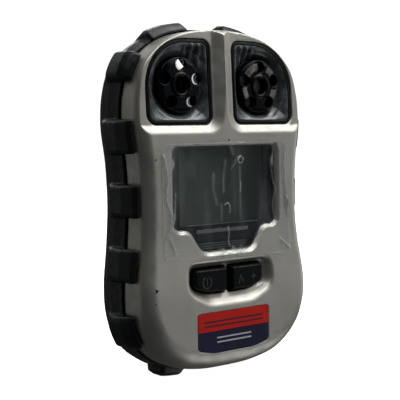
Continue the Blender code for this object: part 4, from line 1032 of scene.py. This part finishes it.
def key(side, word):
    """A key with drafted sides and a softly rounded face."""
    block = Block(*KEY_GRID)
    x, d, z = block.x, block.d, block.z
    edge = block.outline(rounded(KEY_CORNERS, 8))
    draft = KEY_DRAFT * np.clip(1.2 - d, 0, 4)
    crown = KEY_FACE_DEPTH + KEY_CROWN * ((x - KEY_MIDDLE[0]) ** 2 + (z - KEY_MIDDLE[1]) ** 2)
    body = meet(edge + draft, crown - d, 0.42)
    body = meet(body, d - KEY_REAR_DEPTH, 0.15)
    return mesh_of(f"{word}_button", *on_block(block, body, side), "key")


# Strokes of the right key's symbols.
KEY_STROKES = {
    "caret_left": [(3.1, 25.4), (3.8, 27.6)], "caret_right": [(3.9, 27.6), (4.7, 25.5)],
    "plus_level": [(7.3, 26.9), (9.3, 26.9)], "plus_upright": [(8.3, 25.9), (8.3, 27.9)],
}


def keypad():
    for side, word in ((-1, "left"), (1, "right")):
        stands_for(key(side, word), f"{word}_key", f"{word}_key")
    face = KEY_FACE_DEPTH - 0.01
    turns = np.linspace(0.5, 2 * math.pi - 0.5, 40)
    ring = [(-7.9 + 1.45 * math.sin(a), 26.7 + 1.6 * math.cos(a)) for a in turns]
    added(ribbon("power_ring", ring, face, 0.13, 0.2, "print"), "left_key")
    bar = straight((-7.9, 25.8), (-7.9, 27.9), 8)
    added(ribbon("power_bar", bar, face, 0.13, 0.2, "print"), "left_key")
    for word, ends in KEY_STROKES.items():
        added(ribbon(word, straight(*ends, 8), face, 0.12, 0.2, "print"), "right_key")


def above(polygon, low):
    """The part of a convex polygon above a height."""
    kept = []
    for (x0, z0), (x1, z1) in zip(polygon, polygon[1:] + polygon[:1]):
        first, second = z0 - low, z1 - low
        if first >= 0:
            kept.append((x0, z0))
        if first * second < 0:
            t = first / (first - second)
            kept.append((x0 + (x1 - x0) * t, z0 + (z1 - z0) * t))
    return kept


# Plain ruled lines of the front label: half length, lower and upper edge, and look.
LABEL_LINES = [
    (10.4, 16.1, 16.5, "label_dark"), (10.4, 14.9, 15.3, "label_dark"),
    (6.0, 11.6, 12.0, "label_white"), (6.0, 10.4, 10.8, "label_white"),
]


def front_label():
    """A red band over a navy backing, ruled with plain lines; it carries no print."""
    plan = rounded(whole(LABEL_HALF), 10)
    stands_for(plate_from("label_backing", plan, LABEL_FRONT + 0.04, 0.14, "navy"), "front_label")
    band = above(plan, LABEL_SPLIT_Z)
    added(plate_from("label_band", band, LABEL_FRONT, 0.06, "label", bevel=0.02))
    for number, (reach, low, high, look) in enumerate(LABEL_LINES, 1):
        line = rounded_box(-reach, reach, low, high, 0.1, 3)
        added(plate_from(f"label_line_{number}", line, LABEL_FRONT - 0.03, 0.06, look, 0.02))


# Studio --------------------------------------


CAMERA_PLACE = (-0.17103, -0.22627, 0.06753)
# The camera's right, up and back directions.
CAMERA_AXES = [(0.78962, -0.61340, -0.01532), (0.05455, 0.04531, 0.99748), (-0.61116, -0.78847, 0.06923)]
# Lights: name, azimuth and elevation in degrees, distance, width and height in metres, radiance.
LIGHTS = [
    ("key", 45, 42, 0.75, 0.55, 0.45, 1.7),
    ("lip", 80, 52, 0.75, 0.45, 0.4, 3.0),
    ("top", 0, 80, 0.75, 0.8, 0.6, 2.4),
    ("right_fill", 84, 5, 0.75, 0.5, 0.6, 0.6),
    ("front_fill", 36, -3, 0.9, 0.7, 0.6, 0.27),
    ("low_fill", 58, -46, 0.8, 0.6, 0.4, 0.85),
    ("left_back", 218, 0, 0.8, 0.5, 0.6, 0.12),
    ("back_right", 148, 22, 0.9, 0.5, 0.4, 2.2),
    ("back", 190, 35, 0.9, 0.7, 0.5, 0.45),
]
LIGHT_AIM = (0.0, -0.005, 0.05)
SWEEP_GLOW = 1.0
SWEEP_RADIUS = 1.6
SWEEP_CURVE = 0.6
SWEEP_TOP = 2.2
SWEEP_SIDES = 64


def camera():
    made = bpy.data.cameras.new("camera")
    made.lens = 90.0
    made.sensor_width = 36.0
    made.clip_start = 0.01
    holder = linked("camera", made)
    rows = np.column_stack([*CAMERA_AXES, CAMERA_PLACE])
    holder.matrix_world = Matrix([*rows.tolist(), [0, 0, 0, 1]])
    bpy.context.scene.camera = holder


def softbox(name, azimuth, elevation, distance, width, height, radiance):
    """A rectangular light that faces the object; azimuth 0 is in front of it and 90 on its right."""
    made = bpy.data.lights.new(name, "AREA")
    made.shape = "RECTANGLE"
    made.size, made.size_y = width, height
    made.energy = radiance * math.pi * width * height
    holder = linked(name, made)
    a, e = math.radians(azimuth), math.radians(elevation)
    out = Vector((math.sin(a) * math.cos(e), -math.cos(a) * math.cos(e), math.sin(e)))
    holder.location = Vector(LIGHT_AIM) + out * distance
    holder.rotation_mode = "QUATERNION"
    holder.rotation_quaternion = out.to_track_quat("Z", "Y")
    holder.visible_camera = False


def sweep():
    """A round pale floor that curves up into a wall; it lights only the background."""
    flat = SWEEP_RADIUS - SWEEP_CURVE
    profile = [(0.4, 0.0), (flat, 0.0)]
    for a in np.linspace(0.1, math.pi / 2, 12):
        profile.append((flat + SWEEP_CURVE * math.sin(a), SWEEP_CURVE - SWEEP_CURVE * math.cos(a)))
    profile.append((SWEEP_RADIUS, SWEEP_TOP))
    turns = np.linspace(0, 2 * math.pi, SWEEP_SIDES, endpoint=False)
    work = bmesh.new()
    rings = [[work.verts.new((r * math.cos(t), r * math.sin(t), z)) for t in turns] for r, z in profile]
    hub = work.verts.new((0, 0, 0))
    for first, second in zip(rings[0], rings[0][1:] + rings[0][:1]):
        work.faces.new((hub, first, second))
    for lower, upper in zip(rings, rings[1:]):
        for i in range(SWEEP_SIDES):
            j = (i + 1) % SWEEP_SIDES
            work.faces.new((lower[i], upper[i], upper[j], lower[j]))
    mesh = mesh_from(work, "sweep")
    mesh.shade_smooth()
    mesh.materials.append(surface("sweep_paper", (0.80, 0.80, 0.80), 0.9, grain=300.0, mottle=0.01,
            Emission_Color=(1.0, 1.0, 1.0, 1.0), Emission_Strength=SWEEP_GLOW))
    made = linked("sweep", mesh)
    for ray in ("diffuse", "glossy", "transmission", "shadow"):
        setattr(made, "visible_" + ray, False)


def studio():
    world_light = bpy.data.worlds.new("studio")
    world_light.use_nodes = True
    backdrop = world_light.node_tree.nodes["Background"]
    backdrop.inputs["Color"].default_value = (0.95, 0.97, 1.0, 1.0)
    backdrop.inputs["Strength"].default_value = 0.045
    bpy.context.scene.world = world_light
    for light in LIGHTS:
        softbox(*light)
    sweep()
    bpy.context.scene.view_settings.view_transform = "Standard"


# CAD nodes whose edges are softened, and by how much.
SOFT_EDGES = {"clip_plate": 0.15, "clip_jaw": 0.15, "rear_label": 0.05, "battery": 0.2}


def dress_cad_nodes():
    """Gives each CAD node the finish of its slot."""
    for name, slot_name in SLOTS.items():
        held = frame["nodes"][name]
        held.data.materials.clear()
        held.data.materials.append(LOOKS[slot_name])
        if name in SOFT_EDGES:
            bevel = held.modifiers.new("soft_edges", "BEVEL")
            bevel.width = SOFT_EDGES[name] * MM
            bevel.segments = 2
            bevel.limit_method = "ANGLE"
            bevel.angle_limit = math.radians(35)



camera()
dress_cad_nodes()
stands_for(front_shell(), "front_shell")
stands_for(rear_shell(), "rear_shell")
stands_for(rubber_bumper(), "rubber_bumper")
head()
display()
keypad()
front_label()
paint_specks()
studio()
